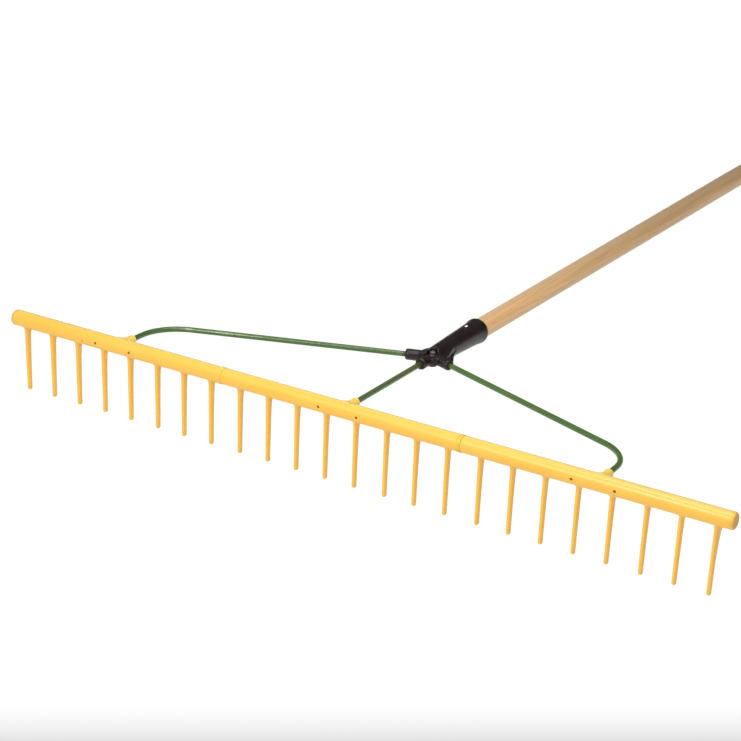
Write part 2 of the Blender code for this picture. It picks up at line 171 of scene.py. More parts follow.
def smooth_table(stations, columns, width):
    """Stations (s, values…) resampled finely and eased, for use with np.interp."""
    stations = sorted(stations)
    s = np.array([p[0] for p in stations])
    fine = np.linspace(s[0], s[-1], 600)
    n = max(3, int(600 * width / (s[-1] - s[0])))
    kernel = np.hanning(n + 2)[1:-1]
    kernel /= kernel.sum()
    out = [fine]
    for c in range(1, columns + 1):
        v = np.interp(fine, s, np.array([p[c] for p in stations]))
        padded = np.concatenate([np.full(n, v[0]), v, np.full(n, v[-1])])
        out.append(np.convolve(padded, kernel, "same")[n:-n])
    return out


# ------------------------------------------------------------ field to mesh
def graded(low, high, zones, coarse, growth=0.3):
    """Grid lines from low to high: fine inside the zones (from, to, step), coarser away from them."""
    out = [low]
    x = low
    while x < high:
        step = coarse
        for a, b, fine in zones:
            away = max(a - x, x - b, 0.0)
            step = min(step, fine + growth * away)
            if x < a:
                step = min(step, max(fine, (a - x)))
        x += step
        out.append(x)
    return np.array(out)


def gradient(field, p, h=0.02):
    g = np.empty_like(p)
    for i in range(3):
        q = p.copy()
        q[:, i] += h
        hi = field(q[:, 0], q[:, 1], q[:, 2])
        q[:, i] -= 2 * h
        g[:, i] = (hi - field(q[:, 0], q[:, 1], q[:, 2])) / (2 * h)
    return g


def welded(p, quads, near=0.003):
    """Points that came to lie on one another joined; a quad with a joined side becomes a triangle."""
    key = np.round(p / near).astype(np.int64)
    _, first, back = np.unique(key, axis=0, return_index=True, return_inverse=True)
    quads = back.reshape(-1)[quads]
    fresh = quads != np.roll(quads, 1, axis=1)
    folded = (quads[:, 0] == quads[:, 2]) | (quads[:, 1] == quads[:, 3])
    keep = (fresh.sum(1) >= 3) & ~folded
    quads, fresh = quads[keep], fresh[keep]
    # a missing corner is marked -1 and moved to the end
    marked = np.where(fresh, quads, -1)
    gap = np.argmin(marked, axis=1)
    three = (marked == -1).any(1)
    turned_rows = np.take_along_axis(marked, (np.arange(4) + (gap + 1)[:, None]) % 4, axis=1)
    return p[first], np.where(three[:, None], turned_rows, marked)


def one_body(p, faces):
    """Only the largest connected shell."""
    label = np.arange(len(p))
    a = faces[:, [0, 1, 2, 2]].ravel()
    b = np.where(faces[:, [1, 2, 3, 0]] < 0, faces[:, [0]], faces[:, [1, 2, 3, 0]]).ravel()
    while True:
        before = label.copy()
        low = np.minimum(label[a], label[b])
        np.minimum.at(label, a, low)
        np.minimum.at(label, b, low)
        np.minimum.at(label, before, label)
        label = label[label]
        if (label == before).all():
            break
    names, count = np.unique(label[faces[:, 0]], return_counts=True)
    main = label == names[np.argmax(count)]
    number = np.cumsum(main) - 1
    faces = faces[main[faces[:, 0]]]
    return p[main], np.where(faces < 0, -1, number[faces])


def mesh_field(field, xs, ys, zs, rounds=5):
    """Surface nets on a graded grid, each vertex then brought onto the surface."""
    gx, gy, gz = np.meshgrid(xs, ys, zs, indexing="ij")
    v = field(gx.ravel(), gy.ravel(), gz.ravel()).reshape(gx.shape)
    inside = v < 0
    nx, ny, nz = v.shape
    total = np.zeros((nx - 1, ny - 1, nz - 1), np.int8)
    corners = [(i, j, k) for i in (0, 1) for j in (0, 1) for k in (0, 1)]
    for i, j, k in corners:
        total += inside[i:nx - 1 + i, j:ny - 1 + j, k:nz - 1 + k]
    active = (total > 0) & (total < 8)
    ids = np.full(active.shape, -1, np.int64)
    ids[active] = np.arange(active.sum())
    cell = np.argwhere(active)
    grid = (xs, ys, zs)
    acc = np.zeros((len(cell), 3))
    count = np.zeros(len(cell))
    edges = [(a, b) for a in corners for b in corners
             if a < b and sum(abs(a[i] - b[i]) for i in range(3)) == 1]
    for a, b in edges:
        ca, cb = cell + a, cell + b
        va = v[ca[:, 0], ca[:, 1], ca[:, 2]]
        vb = v[cb[:, 0], cb[:, 1], cb[:, 2]]
        hit = (va < 0) != (vb < 0)
        t = np.where(hit, va / np.where(hit, va - vb, 1.0), 0.0)
        pa = np.stack([grid[i][ca[:, i]] for i in range(3)], 1)
        pb = np.stack([grid[i][cb[:, i]] for i in range(3)], 1)
        acc += np.where(hit[:, None], pa + t[:, None] * (pb - pa), 0.0)
        count += hit
    p = acc / count[:, None]
    reach = np.min([np.diff(g)[cell[:, i]] for i, g in enumerate(grid)], axis=0) * 0.6
    start = p.copy()
    for _ in range(rounds):
        d = field(p[:, 0], p[:, 1], p[:, 2])
        g = gradient(field, p)
        p = p - g * (d / np.maximum((g * g).sum(1), 1e-6))[:, None]
        off = p - start
        far = np.linalg.norm(off, axis=1)
        p = start + off * np.minimum(1.0, reach / np.maximum(far, 1e-9))[:, None]
    quads = []
    for axis in range(3):
        lo = [slice(None)] * 3
        hi = [slice(None)] * 3
        lo[axis], hi[axis] = slice(0, -1), slice(1, None)
        a, b = inside[tuple(lo)], inside[tuple(hi)]
        at = np.argwhere(a != b)
        o1, o2 = [i for i in range(3) if i != axis]
        ok = (at[:, o1] > 0) & (at[:, o2] > 0) & (at[:, o1] < v.shape[o1] - 1) & (at[:, o2] < v.shape[o2] - 1)
        at = at[ok]
        out_ward = a[at[:, 0], at[:, 1], at[:, 2]]
        ring = []
        for d1, d2 in ((-1, -1), (0, -1), (0, 0), (-1, 0)):
            c = at.copy()
            c[:, o1] += d1
            c[:, o2] += d2
            ring.append(ids[c[:, 0], c[:, 1], c[:, 2]])
        q = np.stack(ring, 1)
        flip = out_ward if axis != 1 else ~out_ward
        q[~flip] = q[~flip][:, ::-1]
        quads.append(q)
    p, faces = one_body(*welded(p, np.concatenate(quads)))
    normals = gradient(field, p, 0.05)
    normals /= np.maximum(np.linalg.norm(normals, axis=1, keepdims=True), 1e-9)
    return p, faces, normals


def curvature(field, p, h=0.7):
    """How sharply the surface turns outwards at each vertex: 0 flat, 1 a crisp outer edge."""
    d = -6 * field(p[:, 0], p[:, 1], p[:, 2])
    for i in range(3):
        for s in (-h, h):
            q = p.copy()
            q[:, i] += s
            d = d + field(q[:, 0], q[:, 1], q[:, 2])
    return d / (h * h)


# ------------------------------------------------------------ pieces
def new_piece(name, p, faces, material, replaces, normals=None, edge=None, smooth=True):
    """One finished piece from tool-frame points in mm, riding on the root body."""
    mesh = bpy.data.meshes.new(name)
    world = to_world(p)
    if isinstance(faces, np.ndarray):
        mesh.vertices.add(len(world))
        mesh.vertices.foreach_set("co", world.astype(np.float32).ravel())
        corners = (faces >= 0).sum(1)
        mesh.loops.add(int(corners.sum()))
        mesh.loops.foreach_set("vertex_index", faces[faces >= 0].astype(np.int32))
        mesh.polygons.add(len(faces))
        mesh.polygons.foreach_set("loop_start", (np.cumsum(corners) - corners).astype(np.int32))
        mesh.polygons.foreach_set("loop_total", corners.astype(np.int32))
        mesh.update(calc_edges=True)
        mesh.validate()
    else:
        mesh.from_pydata([tuple(v) for v in world], [], faces)
        mesh.update()
    mesh.polygons.foreach_set("use_smooth", np.full(len(mesh.polygons), smooth))
    spot = mesh.attributes.new("tool", "FLOAT_VECTOR", "POINT")
    spot.data.foreach_set("vector", (np.asarray(p) / 1000.0).astype(np.float32).ravel())
    wear = mesh.attributes.new("edge", "FLOAT", "POINT")
    wear.data.foreach_set("value", (np.zeros(len(world)) if edge is None else edge).astype(np.float32))
    if normals is not None and len(mesh.vertices) == len(world):
        mesh.normals_split_custom_set_from_vertices([tuple(n) for n in turn_to_world(normals)])
    obj = bpy.data.objects.new(name, mesh)
    bpy.context.scene.collection.objects.link(obj)
    mesh.materials.append(material)
    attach(obj, "root")
    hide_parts(replaces)
    return obj


def field_piece(name, field, xs, ys, zs, material, slot, replaces, wear=1.0):
    p, faces, normals = mesh_field(field, xs, ys, zs)
    turn = np.clip((curvature(field, p) - 0.35) * wear, 0.0, 1.0)
    return new_piece(name, p, faces, material, replaces, normals, turn)


def frame_of(axis):
    axis = np.asarray(axis, float)
    axis = axis / np.linalg.norm(axis)
    side = np.array([0, 0, 1.0]) if abs(axis[2]) < 0.9 else np.array([1.0, 0, 0])
    u = np.cross(side, axis)
    u /= np.linalg.norm(u)
    return axis, u, np.cross(axis, u)


def loft(rings, closed_ends=True):
    """Points and quads through rings of equal length, the ends closed with a fan of quads."""
    n = len(rings[0])
    pts = np.concatenate(rings)
    faces = []
    for r in range(len(rings) - 1):
        for i in range(n):
            j = (i + 1) % n
            faces.append((r * n + i, r * n + j, (r + 1) * n + j, (r + 1) * n + i))
    if closed_ends:
        faces.append(tuple(reversed(range(n))))
        faces.append(tuple(range((len(rings) - 1) * n, len(rings) * n)))
    return pts, faces


def rounded(profile, radius=0.4, steps=4):
    """A profile of (along, radius) points with its corners eased."""
    out = [profile[0]]
    for a, b, c in zip(profile, profile[1:], profile[2:]):
        a, b, c = np.array(a, float), np.array(b, float), np.array(c, float)
        u, w = a - b, c - b
        lu, lw = np.linalg.norm(u), np.linalg.norm(w)
        r = min(radius, 0.45 * lu, 0.45 * lw)
        p, q = b + u / lu * r, b + w / lw * r
        for k in range(steps + 1):
            t = k / steps
            out.append(tuple((1 - t) ** 2 * p + 2 * t * (1 - t) * b + t * t * q))
    out.append(profile[-1])
    return out


def turned(profile, origin, axis, sides):
    axis, u, w = frame_of(axis)
    a = 2 * np.pi * (np.arange(sides) + 0.5) / sides
    rings = [np.asarray(origin, float) + axis * s + (np.cos(a)[:, None] * u + np.sin(a)[:, None] * w) * r
             for s, r in profile]
    return loft(rings)


# ------------------------------------------------------------ materials
class Nodes:
    """Short hand for building one material's node tree."""

    def __init__(self, name):
        self.material = bpy.data.materials.new(name)
        self.material.use_nodes = True
        self.tree = self.material.node_tree
        self.tree.nodes.clear()
        self.shader = self.add("ShaderNodeBsdfPrincipled")
        out = self.add("ShaderNodeOutputMaterial")
        self.link(self.shader.outputs["BSDF"], out.inputs["Surface"])

    def add(self, kind, **settings):
        node = self.tree.nodes.new(kind)
        for key, value in settings.items():
            setattr(node, key, value)
        return node

    def link(self, a, b):
        self.tree.links.new(a, b)

    def put(self, socket, value):
        if isinstance(value, bpy.types.NodeSocket):
            self.link(value, socket)
        else:
            socket.default_value = value

    def attribute(self, name, kind="Vector"):
        node = self.add("ShaderNodeAttribute", attribute_name=name)
        return node.outputs[kind]

    def stretched(self, vector, scale, offset=(0, 0, 0)):
        node = self.add("ShaderNodeMapping")
        self.put(node.inputs["Vector"], vector)
        node.inputs["Scale"].default_value = scale
        node.inputs["Location"].default_value = offset
        return node.outputs["Vector"]

    def noise(self, vector, scale=1.0, detail=3.0, rough=0.5, distortion=0.0):
        node = self.add("ShaderNodeTexNoise")
        self.put(node.inputs["Vector"], vector)
        node.inputs["Scale"].default_value = scale
        node.inputs["Detail"].default_value = detail
        node.inputs["Roughness"].default_value = rough
        node.inputs["Distortion"].default_value = distortion
        return node.outputs["Fac"]

    def cells(self, vector, scale, kind="F1"):
        node = self.add("ShaderNodeTexVoronoi", feature=kind)
        self.put(node.inputs["Vector"], vector)
        node.inputs["Scale"].default_value = scale
        return node.outputs["Distance"]

    def span(self, value, a, b, c=0.0, d=1.0, kind="LINEAR"):
        node = self.add("ShaderNodeMapRange", interpolation_type=kind, clamp=True)
        self.put(node.inputs["Value"], value)
        for key, v in zip(("From Min", "From Max", "To Min", "To Max"), (a, b, c, d)):
            self.put(node.inputs[key], v)
        return node.outputs["Result"]

    def math(self, operation, a, b=0.0, clamp=False):
        node = self.add("ShaderNodeMath", operation=operation, use_clamp=clamp)
        self.put(node.inputs[0], a)
        self.put(node.inputs[1], b)
        return node.outputs[0]

    def mix(self, factor, a, b, blend="MIX"):
        node = self.add("ShaderNodeMix", data_type="RGBA", blend_type=blend)
        self.put(node.inputs[0], factor)
        self.put(node.inputs[6], a if isinstance(a, bpy.types.NodeSocket) else (*a, 1.0))
        self.put(node.inputs[7], b if isinstance(b, bpy.types.NodeSocket) else (*b, 1.0))
        return node.outputs[2]

    def axis(self, vector, which):
        node = self.add("ShaderNodeSeparateXYZ")
        self.put(node.inputs[0], vector)
        return node.outputs[which]

    def bump(self, height, strength, distance, normal=None):
        node = self.add("ShaderNodeBump")
        node.inputs["Strength"].default_value = strength
        node.inputs["Distance"].default_value = distance
        self.put(node.inputs["Height"], height)
        if normal is not None:
            self.link(normal, node.inputs["Normal"])
        return node.outputs["Normal"]

    def finish(self, colour, roughness, normal=None, **values):
        self.put(self.shader.inputs["Base Color"], colour if isinstance(colour, bpy.types.NodeSocket) else (*colour, 1.0))
        self.put(self.shader.inputs["Roughness"], roughness)
        if normal is not None:
            self.link(normal, self.shader.inputs["Normal"])
        for key, value in values.items():
            self.shader.inputs[key.replace("_", " ")].default_value = value
        return self.material


def yellow_plastic():
    """Moulded nylon: soft flow marks along the bar, a fine skin, edges rubbed paler."""
    n = Nodes("yellow_moulded_plastic")
    at = n.attribute("tool")
    flow = n.noise(n.stretched(at, (14.0, 95.0, 95.0)), 1.0, 4.0, 0.55, 0.4)
    cloud = n.noise(n.stretched(at, (26.0, 60.0, 60.0)), 1.0, 3.0, 0.5)
    speck = n.noise(at, 900.0, 2.0, 0.6)
    colour = n.mix(n.span(flow, 0.35, 0.68), (0.878, 0.482, 0.051), (0.892, 0.510, 0.070))
    colour = n.mix(n.span(cloud, 0.42, 0.72, 0.0, 0.55), colour, (0.874, 0.460, 0.051))
    # painted light makes the bar's upper side lighter and more lemon, and a painted highlight runs along its very top
    top_light = n.span(n.axis(at, 2), 0.0055, 0.0100, 0.0, 1.0, "SMOOTHSTEP")
    colour = n.mix(n.math("MULTIPLY", top_light, 0.80), colour, (0.850, 0.518, 0.078))
    highlight_band = n.span(n.axis(at, 2), 0.0096, 0.0104, 0.0, 0.75, "SMOOTHSTEP")
    colour = n.mix(highlight_band, colour, (0.850, 0.610, 0.170))
    # the bosses behind the bar are the palest part of the moulding
    boss = n.span(n.axis(at, 1), 0.0100, 0.0150, 0.0, 1.0, "SMOOTHSTEP")
    colour = n.mix(n.math("MULTIPLY", boss, n.span(n.axis(at, 2), -0.0045, 0.0005)), colour, (0.930, 0.655, 0.115))
    # the caps' turned ends are rougher, and painted shade makes them darker and browner than the bar
    out = n.math("ABSOLUTE", n.axis(at, 0))
    end_shade_and_dull = n.span(out, 0.4936, 0.4974, 0.0, 1.0, "SMOOTHSTEP")
    colour = n.mix(n.math("MULTIPLY", end_shade_and_dull, 0.80), colour, (0.610, 0.365, 0.072))
    # a darker, drab band lies over the right seam's collar
    seam = n.span(n.math("ABSOLUTE", n.math("SUBTRACT", n.axis(at, 0), 0.1598)), 0.0026, 0.0046, 1.0, 0.0, "SMOOTHSTEP")
    seam = n.math("MULTIPLY", seam, n.span(n.noise(at, 210.0, 3.0, 0.6), 0.30, 0.62, 0.50, 0.90))
    colour = n.mix(seam, colour, (0.700, 0.478, 0.028))
    # one small stain on the front of the left section
    spot = n.add("ShaderNodeVectorMath", operation="DISTANCE")
    n.put(spot.inputs[0], at)
    spot.inputs[1].default_value = (-0.3830, -0.0101, -0.0028)
    colour = n.mix(n.span(spot.outputs["Value"], 0.0007, 0.0022, 0.62, 0.0), colour, (0.300, 0.210, 0.030))
    # the teeth are a touch deeper in colour, and scuffed towards the tips
    z = n.axis(at, 2)
    down = n.span(z, -0.012, -0.034, 0.0, 0.62, "SMOOTHSTEP")
    colour = n.mix(down, colour, (0.925, 0.488, 0.040))
    scuff = n.math("MULTIPLY", n.span(z, -0.082, -0.101), n.span(n.noise(at, 420.0, 3.0, 0.65), 0.48, 0.62), True)
    colour = n.mix(n.math("MULTIPLY", scuff, 0.55), colour, (0.62, 0.36, 0.09))
    rub = n.math("MULTIPLY", n.attribute("edge", "Fac"), n.span(n.noise(at, 160.0, 3.0, 0.6), 0.35, 0.70), True)
    colour = n.mix(n.math("MULTIPLY", rub, 0.35), colour, (0.93, 0.66, 0.20))
    rough = n.span(n.math("ADD", n.math("MULTIPLY", flow, 0.85), n.math("MULTIPLY", speck, 0.15)), 0.3, 0.7, 0.27, 0.40)
    rough = n.math("ADD", rough, n.math("MULTIPLY", scuff, 0.22))
    rough = n.math("ADD", rough, n.math("MULTIPLY", end_shade_and_dull, 0.25))
    skin = n.bump(speck, 0.03, 0.0003)
    drag = n.bump(n.noise(n.stretched(at, (3.2, 210.0, 210.0)), 1.0, 2.0, 0.45), 0.16, 0.0008, skin)
    return n.finish(colour, rough, drag, IOR=1.5)


def black_plastic():
    """Glass-filled nylon: matt, faintly mottled, with worn grey edges."""
    n = Nodes("black_moulded_plastic")
    at = n.attribute("tool")
    mottle = n.noise(at, 60.0, 4.0, 0.6)
    grain = n.noise(at, 1500.0, 2.0, 0.6)
    colour = n.mix(n.span(mottle, 0.35, 0.70), (0.0100, 0.0034, 0.0038), (0.0150, 0.0064, 0.0068))
    rub = n.math("MULTIPLY", n.attribute("edge", "Fac"), n.span(n.noise(at, 260.0, 3.0, 0.6), 0.30, 0.66), True)
    colour = n.mix(n.math("MULTIPLY", rub, 0.75), colour, (0.080, 0.070, 0.070))
    rough = n.span(mottle, 0.3, 0.7, 0.30, 0.42)
    rough = n.math("ADD", rough, n.math("MULTIPLY", rub, -0.06))
    skin = n.bump(grain, 0.22, 0.0003)
    wave = n.bump(mottle, 0.12, 0.0012, skin)
    return n.finish(colour, rough, wave, IOR=1.42)


def green_coat():
    """Dip-coated steel rod: sagging film, small runs, painted shade where it enters a boss."""
    n = Nodes("green_coated_rod")
    at = n.attribute("tool")
    film = n.noise(at, 130.0, 3.0, 0.5)
    cloud = n.noise(at, 26.0, 3.0, 0.55)
    fine = n.noise(at, 1100.0, 2.0, 0.6)
    colour = n.mix(n.span(cloud, 0.35, 0.7), (0.049, 0.117, 0.022), (0.069, 0.147, 0.030))
    colour = n.mix(n.span(film, 0.48, 0.72, 0.0, 0.5), colour, (0.060, 0.112, 0.022))
    # the straight rod is drabber than the other two, and a painted highlight lightens the left bend along its top
    middle = n.span(n.math("ABSOLUTE", n.axis(at, 0)), 0.0042, 0.0075, 1.0, 0.0)
    colour = n.mix(n.math("MULTIPLY", middle, 0.90), colour, (0.086, 0.128, 0.040))
    bend = n.math("MULTIPLY", n.span(n.axis(at, 0), -0.250, -0.185, 1.0, 0.0, "SMOOTHSTEP"),
                  n.span(n.axis(at, 0), -0.318, -0.300, 0.0, 1.0, "SMOOTHSTEP"))
    highlight_band = n.math("MULTIPLY", n.span(n.axis(at, 2), 0.0004, 0.0014), n.span(n.axis(at, 2), 0.0026, 0.0033, 1.0, 0.0))
    bend_highlight = n.math("MULTIPLY", n.math("MULTIPLY", bend, highlight_band), n.span(n.noise(at, 90.0, 3.0, 0.6), 0.30, 0.62))
    colour = n.mix(n.math("MULTIPLY", bend_highlight, 0.62), colour, (0.46, 0.56, 0.36))
    # painted shade on the coat near the bosses and the clamp's mouths, which also roughens it there
    mouth_shade = n.math("MULTIPLY", n.attribute("edge", "Fac"), n.span(n.noise(at, 500.0, 3.0, 0.6), 0.2, 0.6, 0.7, 1.0), True)
    colour = n.mix(mouth_shade, colour, (0.044, 0.040, 0.008))
    chip = n.span(n.noise(at, 310.0, 4.0, 0.7), 0.735, 0.755)
    colour = n.mix(chip, colour, (0.16, 0.24, 0.13))
    rough = n.span(film, 0.3, 0.7, 0.20, 0.30)
    rough = n.math("ADD", rough, n.math("MULTIPLY", mouth_shade, 0.25))
    bump = n.bump(fine, 0.08, 0.0003)
    bump = n.bump(film, 0.25, 0.0009, bump)
    return n.finish(colour, rough, bump, IOR=1.5)


def handle_wood():
    """Turned ash, lightly sealed: growth lines drawn out along the handle, fine open pores."""
    n = Nodes("turned_wood")
    at = n.attribute("tool")
    # the tree's axis lies off the handle and nearly parallel, so the rings show as long straight lines
    bent = n.noise(n.stretched(at, (9.0, 0.9, 9.0)), 1.0, 2.0, 0.4)
    tree = n.add("ShaderNodeMapping")
    n.put(tree.inputs["Vector"], at)
    tree.inputs["Location"].default_value = (0.046, 0.0, 0.031)
    tree.inputs["Rotation"].default_value = (math.radians(0.10), 0.0, math.radians(-0.22))
    spread = n.add("ShaderNodeVectorMath", operation="MULTIPLY")
    n.put(spread.inputs[0], tree.outputs["Vector"])
    spread.inputs[1].default_value = (1.0, 0.0, 1.0)
    length = n.add("ShaderNodeVectorMath", operation="LENGTH")
    n.put(length.inputs[0], spread.outputs[0])
    radius = n.math("ADD", length.outputs["Value"], n.math("MULTIPLY", bent, 0.0028))
    turns = n.math("FRACT", n.math("MULTIPLY", radius, 410.0))
    late = n.math("SUBTRACT", n.span(turns, 0.30, 0.94, 0.0, 1.0, "SMOOTHSTEP"), n.span(turns, 0.94, 1.0))
    fibre = n.noise(n.stretched(at, (620.0, 9.0, 620.0)), 1.0, 4.0, 0.62)
    broad = n.noise(n.stretched(at, (55.0, 3.2, 55.0)), 1.0, 4.0, 0.6)
    pore_mask = n.noise(n.stretched(at, (1500.0, 42.0, 1500.0)), 1.0, 2.0, 0.55)
    pore = n.math("MULTIPLY", n.span(pore_mask, 0.60, 0.70), n.span(late, 0.15, 0.75, 0.25, 1.0), True)
    pale = n.mix(n.span(broad, 0.32, 0.70), (0.905, 0.555, 0.266), (0.855, 0.494, 0.213))
    colour = n.mix(n.math("MULTIPLY", late, 0.19), pale, (0.500, 0.285, 0.108))
    colour = n.mix(n.span(fibre, 0.42, 0.74, 0.0, 0.50), colour, (0.500, 0.290, 0.115))
    colour = n.mix(n.math("MULTIPLY", pore, 0.42), colour, (0.270, 0.150, 0.065))
    # painted shade darkens the handle further up, away from the light at the head, and a faint dark line sits at the
    # socket
    along = n.axis(at, 1)
    far_shade = n.span(along, 0.46, 1.00, 0.0, 1.0, "LINEAR")
    colour = n.mix(n.math("MULTIPLY", far_shade, 0.34), colour, (0.300, 0.200, 0.090))
    # painted shade darkens the underside, and a painted reflection greys the top
    under = n.span(n.axis(at, 2), 0.0030, -0.0060, 0.0, 0.40, "SMOOTHSTEP")
    colour = n.mix(under, colour, (0.430, 0.320, 0.150))
    over = n.span(n.axis(at, 2), 0.0122, 0.0142, 0.0, 0.50, "SMOOTHSTEP")
    colour = n.mix(over, colour, (0.620, 0.470, 0.300))
    seat = n.span(along, 0.3676, 0.3710, 0.60, 0.0, "SMOOTHSTEP")
    colour = n.mix(seat, colour, (0.12, 0.065, 0.035))
    rough = n.span(n.math("ADD", n.math("MULTIPLY", fibre, 0.6), n.math("MULTIPLY", late, 0.3)), 0.2, 0.8, 0.42, 0.60)
    bump = n.bump(fibre, 0.25, 0.0005)
    bump = n.bump(n.math("MULTIPLY", pore, -1.0), 0.30, 0.0004, bump)
    return n.finish(colour, rough, bump, IOR=1.45)


def plated_steel(name, tint, dark, rough_low, rough_high):
    """Zinc plate: brushed by the tool that made it, paler on its edges."""
    n = Nodes(name)
    at = n.attribute("tool")
    cloud = n.noise(at, 240.0, 4.0, 0.6)
    fine = n.noise(n.stretched(at, (2600.0, 500.0, 2600.0)), 1.0, 2.0, 0.6)
    colour = n.mix(n.span(cloud, 0.34, 0.68), tint, dark)
    colour = n.mix(n.math("MULTIPLY", n.attribute("edge", "Fac"), 0.6), colour, tuple(min(1.0, 1.25 * c) for c in tint))
    rough = n.span(n.math("ADD", n.math("MULTIPLY", cloud, 0.6), n.math("MULTIPLY", fine, 0.4)), 0.3, 0.7, rough_low, rough_high)
    bump = n.bump(fine, 0.12, 0.0002)
    return n.finish(colour, rough, bump, Metallic=1.0)


YELLOW = yellow_plastic()
BLACK = black_plastic()
GREEN = green_coat()
WOOD = handle_wood()
STEEL = plated_steel("plated_steel", (0.62, 0.60, 0.60), (0.42, 0.40, 0.41), 0.26, 0.42)
BOLT_STEEL = plated_steel("dull_bolt_steel", (0.37, 0.325, 0.335), (0.24, 0.200, 0.208), 0.36, 0.52)
BRIGHT = plated_steel("bright_screw_steel", (0.80, 0.79, 0.78), (0.62, 0.61, 0.60), 0.16, 0.30)
DARK_STEEL = plated_steel("dark_screw_steel", (0.42, 0.235, 0.060), (0.26, 0.140, 0.036), 0.40, 0.60)
TUBE = plated_steel("drawn_tube", (0.66, 0.66, 0.68), (0.52, 0.52, 0.55), 0.25, 0.40)


# ------------------------------------------------------------ rake sections
TOOTH = [(-100.9, 2.76, 3.56, 3.56, 0), (-98.0, 2.76, 3.58, 3.58, 0), (-58.0, 2.90, 3.92, 4.28, 0),
         (-32.0, 3.10, 4.12, 5.10, 0.36), (-19.0, 3.20, 4.30, 6.00, 0.8), (-14.5, 3.30, 4.80, 7.70, 0.95),
         (-10.8, 3.50, 5.30, 8.50, 1.0), (-4.0, 3.60, 5.00, 7.20, 0.6), (8.0, 3.40, 3.60, 3.60, 0.0)]
TOOTH_TABLE = smooth_table(TOOTH, 4, 3.2)
TIP_TOP, TIP_H, BLUNT = -98.1, 2.8, 2.5


def tooth_field(dx, t, s, stiff):
    """Tapered oval tooth: s runs up its length, t back, dx sideways."""
    grid, half, front, back, more = TOOTH_TABLE
    extra = np.interp(s, grid, more)
    a = np.interp(s, grid, half) + 0.133 * stiff * extra * extra
    f = np.interp(s, grid, front)
    b = np.interp(s, grid, back) + stiff * extra
    mid, deep = (b - f) / 2, (b + f) / 2
    u, w = dx / a, (t - mid) / deep
    below = np.maximum(TIP_TOP - s, 0.0)
    q = below / TIP_H
    m = np.maximum(np.sqrt(u * u + w * w), 1e-4)
    k = (m ** BLUNT + q ** BLUNT) ** (1 / BLUNT)
    g = np.sqrt((m / k) ** (2 * BLUNT - 2) * ((u / a) ** 2 + (w / deep) ** 2) / (m * m)
                + (q / k) ** (2 * BLUNT - 2) / TIP_H ** 2)
    d = np.where(k > 0.05, (k - 1) / np.maximum(g, 1e-3), -a)
    return np.maximum(d, s - 6.0)


COS_L, SIN_L = math.cos(LEAN), math.sin(LEAN)
BOSS = [(3.0, 9.8), (8.5, 8.9), (13.5, 7.3), (19.0, 6.35), (26.0, 5.85), (29.4, 5.65), (29.9, 5.9), (31.6, 5.9),
        (32.2, 5.5)]


def section_ends(index):
    xc = (index - 1) * SECTION
    x0 = -BAR_LEFT + CAP_FLANGE + 0.04 if index == 0 else xc - SECTION / 2 + SEAM_SHIFT + 0.015
    x1 = BAR_RIGHT - CAP_FLANGE - 0.04 if index == 2 else xc + SECTION / 2 + SEAM_SHIFT - 0.015
    return xc, x0, x1


def section_field(index):
    xc, x0, x1 = section_ends(index)

    def field(x, y, z):
        t = y * COS_L + z * SIN_L
        s = -y * SIN_L + z * COS_L
        radial = np.sqrt(y * y + z * z)
        band = 0.0
        if index < 2:     # raised collar where the next section begins
            band = np.clip((x - (x1 - COLLAR_W - 0.3)) / 1.6, 0, 1)
            band = 0.48 * band * band * (3 - 2 * band)
        bar = within(radial - (BAR_R + band), np.maximum(x0 - x, x - x1), 0.3)
        u = (x - xc - TOOTH_SHIFT) / PITCH + 3.5
        k = np.clip(np.rint(u), 0, 7)
        stiff = np.where((k == 7) & (index == 2), 7.5, 0.0)
        d = tooth_field((u - k) * PITCH - np.where(k == 5, SIXTH_TOOTH, 0.0), t, s, stiff)
        d = melt(bar, d, 2.6)
        across = np.sqrt((x - xc) ** 2 + z * z)
        boss = lathe(across, y, BOSS, 0.5, 0.7)
        d = melt(d, boss, 3.2)
        d = carve(d, np.maximum(across - ROD_BORE_R, ROD_START - 0.3 - y), 0.35)
        for side in (-1, 1):
            xs = xc + side * SCREW_OFFSET + SCREW_SHIFT
            hole = np.maximum(np.sqrt((x - xs) ** 2 + s * s) - 1.8, t + 7.8)
            d = carve(d, hole, 0.35)
        return carve(d, radial - BORE_R + 0 * x, 0.2)

    return field


def section_grid(index):
    xc, x0, x1 = section_ends(index)
    f = 1.0
    centres = [xc + TOOTH_SHIFT + (k - 3.5) * PITCH + (SIXTH_TOOTH if k == 5 else 0.0) for k in range(8)]
    zones = [(at - 4.2, at + 4.2, 0.84 * f) for at in centres]
    if index == 2:
        zones += [(centres[7] - 5.4, centres[7] + 5.4, 0.84 * f)]
    zones += [(xc - 9.0, xc + 9.0, 0.85 * f)]
    zones += [(xc + side * SCREW_OFFSET + SCREW_SHIFT - 2.6, xc + side * SCREW_OFFSET + SCREW_SHIFT + 2.6, 0.45 * f)
              for side in (-1, 1)]
    zones += [(x0 - 0.6, x0 + 0.9, 0.3), (x1 - 0.9, x1 + 0.6, 0.3)]
    if index < 2:
        zones += [(x1 - COLLAR_W - 1.0, x1, 0.5)]
    xs = graded(x0 - 1.2, x1 + 1.2, zones, 4.6, 0.42)
    ys = graded(-12.6, 34.0, [(-11.2, -5.0, 1.0 * f), (-5.0, 9.0, 1.0 * f), (9.0, 11.4, 1.05 * f),
                              (12.0, 28.0, 1.25 * f), (28.6, 33.2, 0.55)], 1.4 * f)
    zs = graded(-102.6, 12.8, [(-101.6, -96.5, 0.6), (-33.0, -12.0, 1.25 * f), (-12.0, 11.6, 1.02 * f),
                               (-3.4, 1.6, 0.6)], 3.6)
    return xs, ys, zs


for index, side in enumerate(("left", "middle", "right")):
    field_piece(f"{side}_section_moulding", section_field(index), *section_grid(index),
                YELLOW, "bar_plastic", f"{side}_rake_section")

